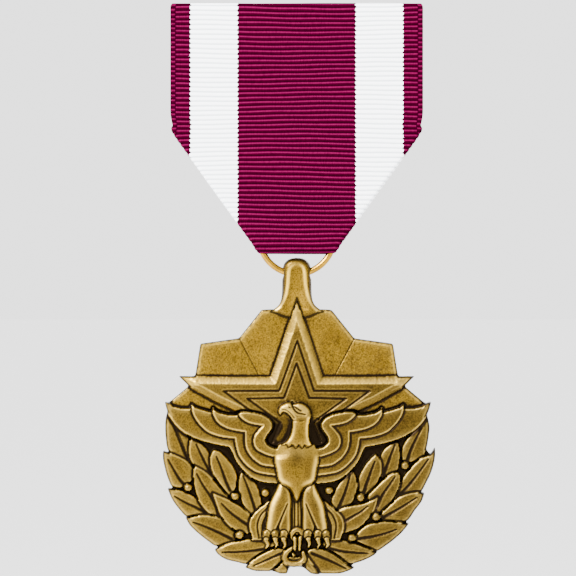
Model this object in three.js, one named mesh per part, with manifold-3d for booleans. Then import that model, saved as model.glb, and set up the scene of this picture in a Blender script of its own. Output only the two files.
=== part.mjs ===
// A military service medal: a struck bronze planchet that hangs on a wire ring from a folded
// ribbon drape, with a pin brooch inside the ribbon's hem. Millimetres, +Z up, the front faces -Y.
//
// Heights are written down from the ribbon's top edge (0), and depths from the ring's plane (0).
// The last lines move the whole group so that the origin lies on the middle of the pin stem.

import * as THREE from "three";
import { mergeVertices } from "three/addons/utils/BufferGeometryUtils.js";
import Module from "manifold-3d";

const wasm = await Module();
wasm.setup();

// ---- driving dimensions ----

const RIBBON = {
  width: 34.9, // 1 3/8 in service ribbon
  thick: 0.4,
  drop: 34.7, // top edge to bottom fold
  shoulder: 16.9, // top edge to where the corners begin to turn in
  fold: 9.3, // width left at the bottom
  front: -1.4, // depth of the visible face
  hemBack: 0.4, // depth of the hem's outer back face
  drapeBack: 1.4, // depth of the drape's back face around the ring
  easeFrom: 22, // top edge to where the back layer leaves that depth, on its way up
  easeMiddle: 18, // top edge to halfway through that ease
  easeTo: 14, // top edge to where the back layer lies against the hem
  easeShare: 0.86, // how much of the drape's thickness is left halfway
};
const FLEX = { z: -10.4, gap: 1.4 }; // where the drape bends below the brooch
const PLATE = { width: 33.2, top: -0.9, bottom: -9.3, thick: 0.8 };
const PIN = { y: 3.8, z: -4.6, radius: 0.5, jointX: -12.6, catchX: 12.2, tipX: 15.4 };
const RING = { radius: 5.15, wire: 0.45, z: -32.3 };
const PLANCHET = { back: 1.0, floor: -0.05, rays: -0.35, leaf: -0.6, star: -0.75, wing: -0.85 };
const LUG = {
  top: -35.2,
  crown: 1.6, // how far below the top its rounding starts
  halfWidth: 2.0,
  root: -41.5, // where its sides end inside the foot
  front: -1.45,
  back: 1.45,
};
const CLEAR = 0.1; // running clearance
const SOLDER = 0.03; // gap between pieces that are soldered together

// ---- finishes ----

const finish = (color, roughness, metalness) =>
  new THREE.MeshStandardMaterial({ color, roughness, metalness });
const BRONZE = finish(0xa8803a, 0.42, 1.0);
const GILT_WIRE = finish(0xcf9f45, 0.28, 1.0);
const BROOCH_BRASS = finish(0xc8a252, 0.35, 1.0);
const STEEL = finish(0xb9bcc0, 0.25, 1.0);
const RIBBON_CLOTH = finish(0x8e1c52, 0.85, 0.0);
const THREAD = finish(0x7a1746, 0.9, 0.0);

// ---- solids ----

// The closed solid of a three.js geometry.
function solid(geometry) {
  const bare = geometry.clone();
  bare.deleteAttribute("normal");
  bare.deleteAttribute("uv");
  const merged = mergeVertices(bare, 1e-4);
  const vertProperties = merged.attributes.position.array;
  return new wasm.Manifold(new wasm.Mesh({
    numProp: 3,
    vertProperties,
    triVerts: new Uint32Array(merged.index.array),
  }));
}

// A solid back as a three.js geometry.
function geometryOf(made) {
  const mesh = made.getMesh();
  const geometry = new THREE.BufferGeometry();
  const positions = new Float32Array(mesh.vertProperties);
  geometry.setAttribute("position", new THREE.BufferAttribute(positions, 3));
  geometry.setIndex(new THREE.BufferAttribute(new Uint32Array(mesh.triVerts), 1));
  geometry.computeVertexNormals();
  return geometry;
}

const joined = (solids) => solids.reduce((a, b) => a.add(b));

// A box from its lowest to its highest corner.
function box(low, high) {
  const size = high.map((value, axis) => value - low[axis]);
  const middle = high.map((value, axis) => (value + low[axis]) / 2);
  return solid(new THREE.BoxGeometry(...size).translate(...middle));
}

// An outline of [x, z] points made solid between two depths.
function slab(outline, front, back, bevel = 0) {
  const shape = new THREE.Shape(outline.map(([x, z]) => new THREE.Vector2(x, z)));
  const rounded = bevel > 0;
  const geometry = new THREE.ExtrudeGeometry(shape, {
    depth: back - front - (rounded ? 2 * bevel : 0),
    bevelEnabled: rounded,
    bevelThickness: bevel,
    bevelSize: bevel,
    bevelOffset: -bevel,
    bevelSegments: 2,
  });
  return solid(geometry.rotateX(Math.PI / 2).translate(0, back - bevel, 0));
}

// An outline of [y, z] points made solid across the width, centred on x = 0.
function across(outline, width) {
  const shape = new THREE.Shape(outline.map(([y, z]) => new THREE.Vector2(y, z)));
  const geometry = new THREE.ExtrudeGeometry(shape, { depth: width, bevelEnabled: false });
  const turn = new THREE.Matrix4().makeBasis(
    new THREE.Vector3(0, 1, 0),
    new THREE.Vector3(0, 0, 1),
    new THREE.Vector3(1, 0, 0),
  );
  return solid(geometry.applyMatrix4(turn).translate(-width / 2, 0, 0));
}

// A solid of revolution about an axis along "x" or "z", from [radius, distance along] points.
function turned(profile, axis, [x, y, z], steps = 20) {
  const points = profile.map(([radius, along]) => new THREE.Vector2(radius, along));
  const geometry = new THREE.LatheGeometry(points, steps);
  if (axis === "x") geometry.rotateZ(-Math.PI / 2);
  if (axis === "z") geometry.rotateX(Math.PI / 2);
  return solid(geometry.translate(x, y, z));
}

const rod = (radius, from, to, axis, centre, steps) =>
  turned([[0, from], [radius, from], [radius, to], [0, to]], axis, centre, steps);

function ellipsoid([x, y, z], [rx, ry, rz], lean = 0) {
  const geometry = new THREE.SphereGeometry(1, 14, 9).scale(rx, ry, rz);
  return solid(geometry.rotateY(THREE.MathUtils.degToRad(lean)).translate(x, y, z));
}

function torus(radius, wire, [x, y, z], around = 12, along = 48) {
  const geometry = new THREE.TorusGeometry(radius, wire, around, along);
  return solid(geometry.rotateX(Math.PI / 2).translate(x, y, z));
}

// Points on an arc about (a, b), from one angle to another in degrees.
function arc(a, b, radius, from, to, steps) {
  return Array.from({ length: steps + 1 }, (_, n) => {
    const angle = THREE.MathUtils.degToRad(from + ((to - from) * n) / steps);
    return [a + radius * Math.cos(angle), b + radius * Math.sin(angle)];
  });
}

const mirrored = (outline) => outline.map(([x, z]) => [-x, z]).reverse();
const bothSides = (half) => [...half, ...mirrored(half)];

// A smooth line through a few points.
function smooth(points, steps = 3 * points.length) {
  const curve = new THREE.SplineCurve(points.map(([x, z]) => new THREE.Vector2(x, z)));
  return curve.getPoints(steps).map((p) => [p.x, p.y]);
}

// ---- the ribbon ----

const HALF_WIDTH = RIBBON.width / 2;
const HALF_FOLD = RIBBON.fold / 2;
const INNER_FRONT = RIBBON.front + RIBBON.thick;

// The drape seen from the front, its slanting edges moved in by inset.
function drapeOutline(inset) {
  const slope = Math.atan2(HALF_WIDTH - HALF_FOLD, RIBBON.drop - RIBBON.shoulder);
  const moved = inset / Math.cos(slope);
  const side = inset > 0 ? HALF_WIDTH + 1 : HALF_WIDTH; // a hollow runs out past the side edges
  const lower = RIBBON.shoulder - (side - HALF_WIDTH + moved) / Math.tan(slope);
  return bothSides([[side, 1], [side, -lower], [HALF_FOLD - moved, -RIBBON.drop]]);
}

// The ribbon's loop seen from the side, as the area inside its outer face or its inner one.
// It runs up the back, over the top, down the front and round the bottom fold.
function loopProfile(inset) {
  const back = RIBBON.hemBack - inset;
  const low = RIBBON.drapeBack - inset;
  const front = RIBBON.front + inset;
  const topRadius = (RIBBON.hemBack - RIBBON.front) / 2;
  const lowRadius = (RIBBON.drapeBack - RIBBON.front) / 2;
  const topMiddle = (RIBBON.hemBack + RIBBON.front) / 2;
  const lowMiddle = (RIBBON.drapeBack + RIBBON.front) / 2;
  return [
    [back, -RIBBON.easeTo],
    ...arc(topMiddle, -topRadius, topRadius - inset, 0, 180, 8),
    ...arc(lowMiddle, lowRadius - RIBBON.drop, lowRadius - inset, 180, 360, 10),
    [low, -RIBBON.easeFrom],
    [front + (low - front) * RIBBON.easeShare, -RIBBON.easeMiddle],
  ];
}

const loopSolid = () => {
  const outer = across(loopProfile(0), RIBBON.width).intersect(slab(drapeOutline(0), -3, 3));
  const inner = across(loopProfile(RIBBON.thick), RIBBON.width + 2);
  return outer.subtract(inner.intersect(slab(drapeOutline(RIBBON.thick), -3, 3)));
};

// What lies above the gap where the drape bends (side 1), or below it (side -1).
function beyondFlex(side) {
  const edge = FLEX.z + (side * FLEX.gap) / 2;
  const [low, high] = [edge, side * 60].sort((a, b) => a - b);
  return box([-HALF_WIDTH - 1, -4, low], [HALF_WIDTH + 1, 4, high]);
}

// The joint and the catch stand out through two slits in the hem's back layer.
const SLIT = { halfLength: 2.5, halfHeight: 2.3 };

function slit(x) {
  const { halfLength, halfHeight } = SLIT;
  return box(
    [x - halfLength, RIBBON.hemBack - RIBBON.thick - 0.3, PIN.z - halfHeight],
    [x + halfLength, RIBBON.hemBack + 1, PIN.z + halfHeight],
  );
}

function ribbonHem() {
  const upper = loopSolid().intersect(beyondFlex(1));
  return upper.subtract(slit(PIN.jointX)).subtract(slit(PIN.catchX));
}

// The ribbon's end comes down over the back layer and is sewn to it below the bend.
const SEAM = { top: -11.3, bottom: -15.2, thread: -13.4, stitches: 12, pitch: 2.7 };

function ribbonDrape() {
  const end = slab(
    bothSides([[HALF_WIDTH - 0.2, SEAM.top], [HALF_WIDTH - 0.2, SEAM.bottom]]),
    RIBBON.hemBack - RIBBON.thick / 2,
    RIBBON.hemBack + RIBBON.thick,
  );
  const lower = loopSolid().add(end).intersect(beyondFlex(-1));
  const ringPath = torus(RING.radius, RING.wire + 0.25, [0, 0, RING.z], 12, 40);
  return lower.subtract(ringPath);
}

// One stitch of the seam: a short thread lying along the ribbon's back.
function stitch(n) {
  const x = (n - (SEAM.stitches - 1) / 2) * SEAM.pitch;
  const y = RIBBON.hemBack + RIBBON.thick + 0.25;
  return ellipsoid([x, y, SEAM.thread], [0.95, 0.2, 0.22]);
}

// ---- the brooch ----

const PLATE_FRONT = INNER_FRONT + CLEAR;
const PLATE_BACK = PLATE_FRONT + PLATE.thick;

// A stamped brass bar with rounded corners and a long pressed-in stiffening bead.
function broochPlate() {
  const corner = 1.2;
  const half = PLATE.width / 2 - corner;
  const low = PLATE.bottom + corner;
  const high = PLATE.top - corner;
  const outline = [
    ...arc(half, low, corner, -90, 0, 4),
    ...arc(half, high, corner, 0, 90, 4),
    ...arc(-half, high, corner, 90, 180, 4),
    ...arc(-half, low, corner, 180, 270, 4),
  ];
  const bead = 0.9;
  const groove = [
    ...arc(13, PLATE.bottom + 1.7, bead / 2, -90, 90, 4),
    ...arc(-13, PLATE.bottom + 1.7, bead / 2, 90, 270, 4),
  ];
  const bar = slab(outline, PLATE_FRONT, PLATE_BACK);
  return bar.subtract(slab(groove, PLATE_BACK - 0.25, PLATE_BACK + 1));
}

const FOOT = { half: 1.9, thick: 0.4 }; // the soldered foot of the joint and of the catch
const FOOT_FRONT = PLATE_BACK + SOLDER;
const EAR = { inner: 0.65, outer: 1.1, round: 1.15 };
const RIVET = { radius: 0.42, hole: 0.5 };

// The joint: a foot with two ears that hold the pin's eye between them.
function pinJoint() {
  const { jointX, y, z } = PIN;
  const foot = box(
    [jointX - FOOT.half, FOOT_FRONT, z - EAR.outer],
    [jointX + FOOT.half, FOOT_FRONT + FOOT.thick, z + EAR.outer],
  );
  const ears = [-1, 1].map((side) => {
    const [low, high] = [side * EAR.inner, side * EAR.outer].sort((a, b) => a - b);
    const web = box([jointX - EAR.round, FOOT_FRONT, z + low], [jointX + EAR.round, y, z + high]);
    return web.add(rod(EAR.round, low, high, "z", [jointX, y, z]));
  });
  const hole = rod(RIVET.hole, -2, 2, "z", [jointX, y, z]);
  return joined([foot, ...ears]).subtract(hole);
}

function jointRivet() {
  const head = EAR.outer + CLEAR;
  const profile = [
    [0, -head - 0.35],
    [0.55, -head - 0.35],
    [0.8, -head],
    [RIVET.radius, -head],
    [RIVET.radius, head],
    [0.8, head],
    [0.55, head + 0.35],
    [0, head + 0.35],
  ];
  return turned(profile, "z", [PIN.jointX, PIN.y, PIN.z], 16);
}

// The pin: a pointed wire with a flattened eye that turns on the rivet.
function pinStem() {
  const { jointX, tipX, y, z, radius } = PIN;
  const length = tipX - jointX;
  const wire = turned(
    [[0, 0.7], [radius, 0.7], [radius, length - 4.5], [0.09, length], [0, length]],
    "x",
    [jointX, y, z],
    14,
  );
  const eye = rod(1.05, -0.5, 0.5, "z", [jointX, y, z]);
  return wire.add(eye).subtract(rod(RIVET.hole, -2, 2, "z", [jointX, y, z]));
}

const CATCH = { bore: 0.72, outer: 1.65, cheek: 0.55, inside: 1.0, slot: 1.24 };

// A round cheek or sleeve about the pin's line, open towards the back so that the pin can enter.
function openSleeve(from, to) {
  const centre = [PIN.catchX, PIN.y, PIN.z];
  const gap = box(
    [PIN.catchX + from - 1, PIN.y, PIN.z - CATCH.slot / 2],
    [PIN.catchX + to + 1, PIN.y + 3, PIN.z + CATCH.slot / 2],
  );
  const sleeve = rod(CATCH.outer, from, to, "x", centre, 28);
  return sleeve.subtract(rod(CATCH.bore, from - 1, to + 1, "x", centre, 20)).subtract(gap);
}

// The catch: a foot and two slotted cheeks, with room for the lock between them.
function catchBase() {
  const { catchX, z, y } = PIN;
  const reach = CATCH.inside + CATCH.cheek;
  const foot = box(
    [catchX - reach, FOOT_FRONT, z - FOOT.half],
    [catchX + reach, FOOT_FRONT + FOOT.thick, z + FOOT.half],
  );
  const cheeks = [[-reach, -CATCH.inside], [CATCH.inside, reach]].map(([from, to]) => {
    const web = box(
      [catchX + from, FOOT_FRONT, z - 1.2],
      [catchX + to, y - CATCH.bore - 0.3, z + 1.2],
    );
    return web.add(openSleeve(from, to));
  });
  return joined([foot, ...cheeks]);
}

// The lock: a slotted sleeve between the cheeks, turned by its thumb tab to shut the slot.
function catchRotor() {
  const half = CATCH.inside - CLEAR;
  const tab = box(
    [PIN.catchX - half, PIN.y - 0.3, PIN.z - 3.1],
    [PIN.catchX + half, PIN.y + 0.3, PIN.z - CATCH.outer + 0.3],
  );
  return openSleeve(-half, half).add(tab);
}

// ---- the ring ----

const suspensionRing = () => torus(RING.radius, RING.wire, [0, 0, RING.z], 10, 48);

// ---- the planchet ----
// One struck piece: a backing plate, rays, star, laurel, wings and eagle, and the drilled lug.

// The rays' corners on the right, from the lug down to the wing's tip.
const RAYS = [
  [0, -42],
  [4.75, -42.4],
  [8.1, -46.35],
  [13.3, -47.0],
  [13.95, -51.45],
  [15.0, -53.0],
  [17.9, -55.2],
  [16, -60],
  [0, -66],
];

// The star's right half, from its top point round to the bottom corner.
const STAR = [[0, -40.7], [3.6, -51.7], [16.2, -51.55], [5.9, -59.4], [9.4, -70], [0, -63.9]];

// The backing plate under the laurel, on the right.
const BACKING = smooth([
  [16.5, -53.6],
  [18.3, -55.6],
  [18.35, -59.5],
  [18.7, -63],
  [18.1, -66.4],
  [16.9, -69.6],
  [14.7, -72.7],
  [11.2, -75.6],
  [7.6, -77.8],
  [3.2, -78.7],
  [0.2, -77.9],
]);

// Each laurel leaf: tip, base and width, and how far its midrib bows down at the middle.
const LEAVES = [
  [-17.9, -57.0, -14.5, -64.2, 2.9, 0.1],
  [-14.7, -60.0, -12.0, -65.0, 2.5, 0.1],
  [-11.5, -61.9, -9.0, -67.6, 2.9, -0.1],
  [-7.7, -64.8, -5.8, -70.3, 2.8, 0],
  [-18.5, -62.1, -15.6, -66.9, 3.0, 0],
  [-14.1, -64.1, -10.6, -71.0, 3.1, 0],
  [-11.6, -67.9, -6.6, -73.0, 2.9, 0],
  [-17.9, -67.1, -12.8, -70.8, 2.4, 0],
  [-15.4, -71.2, -8.8, -74.6, 3.1, 0],
  [-11.4, -75.6, -3.8, -75.3, 3.0, 0.4],
  [-7.2, -78.1, -1.8, -76.0, 2.4, 0.3],
  [18.1, -57.2, 15.2, -63.7, 2.8, 0],
  [14.0, -60.4, 12.1, -65.2, 2.3, 0],
  [10.95, -62.4, 9.3, -67.8, 2.7, 0],
  [7.7, -64.9, 5.6, -70.2, 3.0, 0],
  [18.75, -62.4, 14.4, -68.2, 3.0, 0],
  [14.2, -64.9, 10.6, -71.0, 2.9, -0.2],
  [11.2, -68.2, 6.2, -72.6, 2.9, 0.1],
  [17.8, -67.8, 12.1, -71.4, 2.7, -0.1],
  [15.4, -72.0, 8.3, -74.4, 2.9, 0],
  [11.2, -75.9, 4.2, -75.0, 2.7, 0.4],
  [7.8, -78.2, 1.9, -75.8, 2.4, 0.5],
];
const BERRIES = [
  [-14.9, -67.1],
  [-8.55, -68.2],
  [-4.3, -67.6],
  [-7.9, -73.7],
  [15.0, -64.0],
  [8.85, -68.4],
  [4.5, -67.4],
  [11.0, -71.1],
  [7.6, -73.9],
];

// A wing is four nested feathers. Each line is a feather's lower edge, from its tip to the breast,
// and all of them close along the wing's top edge.
const WING_TOP = smooth([
  [2.6, -61.5],
  [4.1, -61.0],
  [4.3, -60.0],
  [3.4, -58.6],
  [4.1, -57.3],
  [6.5, -56.6],
  [9, -56.9],
  [11.6, -56.6],
  [14.5, -56.0],
  [18.2, -55.4],
]);
const FEATHERS = [
  [[18.2, -55.4], [16.9, -58.1], [14.7, -59.9], [11.2, -61.1], [9.1, -61.7], [8.5, -63.3],
    [6.7, -65.5], [3.0, -66.5]],
  [[14.5, -56.0], [13.6, -58.5], [11.4, -59.8], [8.5, -60.3], [8.1, -62], [6.6, -64.2], [2.7, -65.4]],
  [[11.6, -56.6], [10.6, -58.4], [9.1, -59.1], [7.1, -59.4], [6.9, -61.9], [5.2, -63.8],
    [2.8, -64.1]],
  [[8.0, -56.8], [6.4, -58.1], [4.7, -58.5], [5.9, -60.3], [5.3, -62.1], [3.1, -62.9]],
];
const FEATHER_STEP = 0.13;

// A pointed leaf outline along a bowed midrib.
function leafOutline([tipX, tipZ, baseX, baseZ, width, bow]) {
  const steps = 6;
  const length = Math.hypot(baseX - tipX, baseZ - tipZ);
  const normal = [-(baseZ - tipZ) / length, (baseX - tipX) / length];
  const side = (sign) =>
    Array.from({ length: steps + 1 }, (_, n) => {
      const t = n / steps;
      const half = (sign * width * Math.sin(Math.PI * t ** 0.9)) / 2;
      const x = tipX + (baseX - tipX) * t + normal[0] * half;
      const z = tipZ + (baseZ - tipZ) * t + normal[1] * half - bow * 4 * t * (1 - t);
      return [x, z];
    });
  return [...side(1), ...side(-1).slice(1, -1).reverse()];
}

function featherOutline(n) {
  const edge = smooth(FEATHERS[n]);
  const tip = FEATHERS[n][0];
  const top = WING_TOP.filter(([x]) => x < tip[0] - 0.2);
  return [...edge, ...top];
}

function eagle() {
  const pieces = [
    ellipsoid([0, -0.6, -63.6], [3.05, 1.3, 3.7]), // breast
    ellipsoid([0.35, -0.7, -59.2], [1.6, 1.1, 3.0]), // neck
    ellipsoid([0.3, -0.85, -56.7], [1.75, 1.05, 1.4]), // head
    ellipsoid([-1.75, -0.8, -56.4], [0.95, 0.75, 0.55], 35), // beak
    ellipsoid([-2.65, -0.5, -69.7], [1.35, 1.15, 3.6], 9), // thighs
    ellipsoid([2.65, -0.5, -69.7], [1.35, 1.15, 3.6], -9),
    slab(bothSides([[0.8, -66.5], [0.7, -73]]), -0.7, PLANCHET.back), // tail
    torus(0.72, 0.36, [0.1, -0.7, -73.5], 8, 14), // the knot's upper loop
    torus(1.2, 0.5, [0.05, -0.5, -76.4], 8, 16), // and its lower one
    slab([[-3.4, -78.6], [-1.9, -76.8], [-1.1, -77.9], [-1.4, -78.9], [-2.3, -79]], -0.5, 0.5),
    slab([[1.3, -76.2], [2.9, -78.2], [3.2, -78.9], [2.3, -79.1], [0.9, -78]], -0.5, 0.5),
  ];
  for (const toe of [-4.1, -2.95, -1.75, 0.2, 1.65, 2.9, 4.1])
    pieces.push(ellipsoid([toe, -0.7, -74.4], [0.45, 0.75, 1.1]));
  for (const side of [-1, 1])
    pieces.push(slab(
      smooth([[3.7, -68.8], [5.6, -70.3], [6.35, -72], [6.1, -74], [4.6, -74], [4.4, -71]]
        .map(([x, z]) => [side * x, z])),
      PLANCHET.leaf,
      0,
    ));
  return joined(pieces);
}

// The hole's radius at a distance from the lug's middle: it widens towards both sides, because the
// ring's wire curves away and the planchet swings on it.
function lugHole() {
  const reach = 2.6;
  const steps = 12;
  const wall = Array.from({ length: steps + 1 }, (_, n) => {
    const x = reach * ((2 * n) / steps - 1);
    const rise = RING.radius - Math.sqrt(RING.radius ** 2 - x ** 2);
    return [RING.wire * (1 + rise * 0.15) + rise + CLEAR, x];
  });
  const profile = [[0, -reach], ...wall, [0, reach]];
  return turned(profile, "x", [0, 0, RING.z - RING.radius], 20);
}

function lug() {
  const shoulder = LUG.top - LUG.crown;
  const rounded = ([x, z]) => [x * LUG.halfWidth, shoulder + z * LUG.crown];
  const crown = arc(0, 0, 1, 0, 180, 12).map(rounded);
  const { halfWidth, root } = LUG;
  const outline = [[halfWidth, root], ...crown, [-halfWidth, root]];
  const post = slab(outline, LUG.front, LUG.back, 0.5);
  const footHalf = [[2.05, -40.2], [2.35, -41.4], [3.0, -42.15], [4.2, -42.6], [1.5, -43.7]];
  const foot = slab(bothSides(footHalf), -0.9, PLANCHET.back);
  return post.add(foot);
}

function planchet() {
  const { back, floor } = PLANCHET;
  const pieces = [
    slab(bothSides(RAYS), PLANCHET.rays, back),
    slab(bothSides(BACKING), floor, back),
    slab(bothSides(STAR), PLANCHET.star, back),
    lug(),
  ];
  LEAVES.forEach((leaf, n) =>
    pieces.push(slab(leafOutline(leaf), PLANCHET.leaf + 0.02 * (n % 3), back)));
  BERRIES.forEach(([x, z]) => pieces.push(ellipsoid([x, -0.5, z], [0.58, 0.75, 0.58])));
  FEATHERS.forEach((_, n) => {
    const front = PLANCHET.wing - n * FEATHER_STEP;
    pieces.push(slab(featherOutline(n), front, back), slab(mirrored(featherOutline(n)), front, back));
  });
  const struck = joined(pieces).add(eagle().intersect(box([-9, -3, -80], [9, back, -50])));
  return struck.subtract(lugHole());
}

// ---- the assembly ----

const medal = new THREE.Group();

function place(name, made, material) {
  const mesh = new THREE.Mesh(geometryOf(made), material);
  mesh.name = name;
  medal.add(mesh);
}

place("brooch_plate", broochPlate(), BROOCH_BRASS);
place("pin_joint", pinJoint(), BROOCH_BRASS);
place("joint_rivet", jointRivet(), BROOCH_BRASS);
place("pin_stem", pinStem(), STEEL);
place("catch_base", catchBase(), BROOCH_BRASS);
place("catch_rotor", catchRotor(), BROOCH_BRASS);
place("ribbon_hem", ribbonHem(), RIBBON_CLOTH);
place("ribbon_drape", ribbonDrape(), RIBBON_CLOTH);
for (let n = 0; n < SEAM.stitches; n++)
  place(`seam_stitch_${String(n + 1).padStart(2, "0")}`, stitch(n), THREAD);
place("suspension_ring", suspensionRing(), GILT_WIRE);
place("planchet", planchet(), BRONZE);

medal.position.set(0, -PIN.y, -PIN.z);

export default medal;
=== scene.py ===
"""Looks of a military service medal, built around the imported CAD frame.

Shapes are drawn on the medal's own sheet, in millimetres: x to the viewer's right, z up from the
ribbon's top edge, and depth forward from the ring's plane. to_frame() turns that into metres.
"""

import math

import bpy
import numpy as np
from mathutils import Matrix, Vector


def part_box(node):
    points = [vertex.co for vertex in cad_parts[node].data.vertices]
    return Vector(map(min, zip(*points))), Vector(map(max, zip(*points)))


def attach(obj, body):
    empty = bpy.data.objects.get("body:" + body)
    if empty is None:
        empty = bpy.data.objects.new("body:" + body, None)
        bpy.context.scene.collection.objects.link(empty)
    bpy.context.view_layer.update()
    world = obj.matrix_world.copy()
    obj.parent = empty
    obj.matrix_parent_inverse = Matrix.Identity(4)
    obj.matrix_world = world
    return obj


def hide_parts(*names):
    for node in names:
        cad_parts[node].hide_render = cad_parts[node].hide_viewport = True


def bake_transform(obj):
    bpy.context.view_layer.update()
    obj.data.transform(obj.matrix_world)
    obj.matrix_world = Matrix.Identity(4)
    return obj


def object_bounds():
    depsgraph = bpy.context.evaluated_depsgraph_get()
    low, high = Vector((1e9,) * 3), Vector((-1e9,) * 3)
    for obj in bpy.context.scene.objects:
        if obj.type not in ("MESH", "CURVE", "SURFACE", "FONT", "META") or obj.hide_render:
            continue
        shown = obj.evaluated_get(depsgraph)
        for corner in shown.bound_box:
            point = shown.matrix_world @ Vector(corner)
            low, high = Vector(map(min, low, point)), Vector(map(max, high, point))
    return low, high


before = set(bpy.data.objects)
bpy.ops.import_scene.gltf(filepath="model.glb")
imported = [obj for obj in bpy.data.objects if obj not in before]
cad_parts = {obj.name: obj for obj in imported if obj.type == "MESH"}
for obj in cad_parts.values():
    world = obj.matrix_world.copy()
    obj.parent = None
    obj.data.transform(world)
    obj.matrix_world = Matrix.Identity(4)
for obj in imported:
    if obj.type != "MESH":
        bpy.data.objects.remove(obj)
cad_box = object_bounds()

MM = 0.001
TOP_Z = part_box("ribbon_hem")[1][2]
RING_LOW, RING_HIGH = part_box("suspension_ring")
RING_Y = (RING_LOW[1] + RING_HIGH[1]) / 2
WIRE = 0.45  # radius of the ring's wire


def to_frame(x, depth, z):
    """Sheet millimetres to metres in the row frame; numbers or arrays."""
    return x * MM, RING_Y - depth * MM, TOP_Z + z * MM


def cad_middle(node):
    """The middle of a CAD node, as x and z on the sheet."""
    low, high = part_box(node)
    return (low[0] + high[0]) / 2 / MM, ((low[2] + high[2]) / 2 - TOP_Z) / MM


def add_object(name, data):
    obj = bpy.data.objects.new(name, data)
    bpy.context.scene.collection.objects.link(obj)
    return obj


# ---- camera ----

VIEW_CENTRE = (-1.2, 0.0, -39.4)  # sheet millimetres
VIEW_FIELD = 79.8 * MM
CAMERA_DISTANCE = 0.42
SENSOR_MM = 36.0

camera_data = bpy.data.cameras.new("camera")
camera_data.sensor_width = SENSOR_MM
camera_data.lens = SENSOR_MM * CAMERA_DISTANCE / VIEW_FIELD
camera = add_object("camera", camera_data)
centre = to_frame(*VIEW_CENTRE)
camera.location = (centre[0], centre[1] - CAMERA_DISTANCE, centre[2])
camera.rotation_euler = (math.pi / 2, 0, 0)
bpy.context.scene.camera = camera


# ---- curves and distances on the sheet ----

CURVE_STEPS = 6  # between one given point of a smooth curve and the next
RIGHT_STRETCH = 1.02  # the medal is a little wider to the viewer's right
BOTH_SIDES = (-1, 1)


def smooth(points, closed=False):
    """A Catmull-Rom curve through a few points."""
    p = np.asarray(points, float)
    if closed:
        p = np.vstack([p[-1], p, p[0], p[1]])
    else:
        p = np.vstack([2 * p[0] - p[1], p, 2 * p[-1] - p[-2]])
    t = np.linspace(0, 1, CURVE_STEPS, endpoint=False)[:, None]
    spans = []
    for a, b, c, d in zip(p, p[1:], p[2:], p[3:]):
        spans.append(0.5 * (2 * b + (c - a) * t + (2 * a - 5 * b + 4 * c - d) * t**2
                            + (3 * b - a - 3 * c + d) * t**3))
    if not closed:
        spans.append(p[-2:-1])
    return np.vstack(spans)


def flipped(points):
    """The same points on the other side of the medal's middle, the other way round."""
    return [(-x, z) for x, z in points[::-1]]


def opposite(line):
    """A smooth line on the viewer's left, moved to the right in the same way."""
    return line[::-1] * (-RIGHT_STRETCH, 1)


def smoothstep(t):
    return t * t * (3 - 2 * t)


def bell(values, middle, width):
    """A bell curve, 1 where the values are at its middle."""
    return np.exp(-(((values - middle) / width) ** 2))


def distance_to_line(points, x, z):
    """Distance to a line through the points, and how far along it the nearest place is, 0 to 1."""
    p = np.asarray(points, float)
    lengths = np.hypot(*np.diff(p, axis=0).T)
    best = np.full(x.shape, 1e9)
    along = np.zeros(x.shape)
    done = 0.0
    for (ax, az), (bx, bz), length in zip(p, p[1:], lengths):
        ex, ez = bx - ax, bz - az
        t = np.clip(((x - ax) * ex + (z - az) * ez) / max(ex * ex + ez * ez, 1e-12), 0, 1)
        d = np.hypot(x - ax - t * ex, z - az - t * ez)
        nearer = d < best
        best = np.where(nearer, d, best)
        along = np.where(nearer, (done + t * length) / max(lengths.sum(), 1e-9), along)
        done += length
    return best, along


def distance_inside(outline, x, z):
    """Distance to a closed outline, positive inside it."""
    p = np.asarray(outline, float)
    best, _ = distance_to_line(np.vstack([p, p[:1]]), x, z)
    odd = np.zeros(x.shape, bool)
    for (ax, az), (bx, bz) in zip(p, np.roll(p, -1, axis=0)):
        if az != bz:
            crosses = (az > z) != (bz > z)
            odd ^= crosses & (x < ax + (z - az) * (bx - ax) / (bz - az))
    return np.where(odd, best, -best)


def blurred(values, radius):
    """A Gaussian blur, radius in grid steps."""
    reach = int(math.ceil(3 * radius))
    weights = np.exp(-0.5 * (np.arange(-reach, reach + 1) / radius) ** 2)
    weights /= weights.sum()
    out = values
    for axis in (0, 1):
        pad = [(0, 0), (0, 0)]
        pad[axis] = (reach, reach)
        wide = np.pad(out, pad, mode="edge")
        length = values.shape[axis]
        out = sum(w * np.take(wide, range(n, n + length), axis) for n, w in enumerate(weights))
    return out


# ---- relief: heights on a grid ----

PITCH = 0.11
EDGE_RIM, RIM_HALF = 0.12, 0.13  # how far inside an edge its rubbed line runs, and its half width
DITCH = 0.14  # depth of the sunk line round a shape
OXIDE_SHADOW_FILL, OXIDE_SHADOW_REACH = 1.9, 0.1  # how full the oxide and painted shadow lie in it, and how far they spread past it
SHAPE_SAND = 0.4  # the grain on a raised shape, where the open fields have 1
LIMB_DARK = 0.9  # the oxide and painted shadow round a limb


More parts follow.
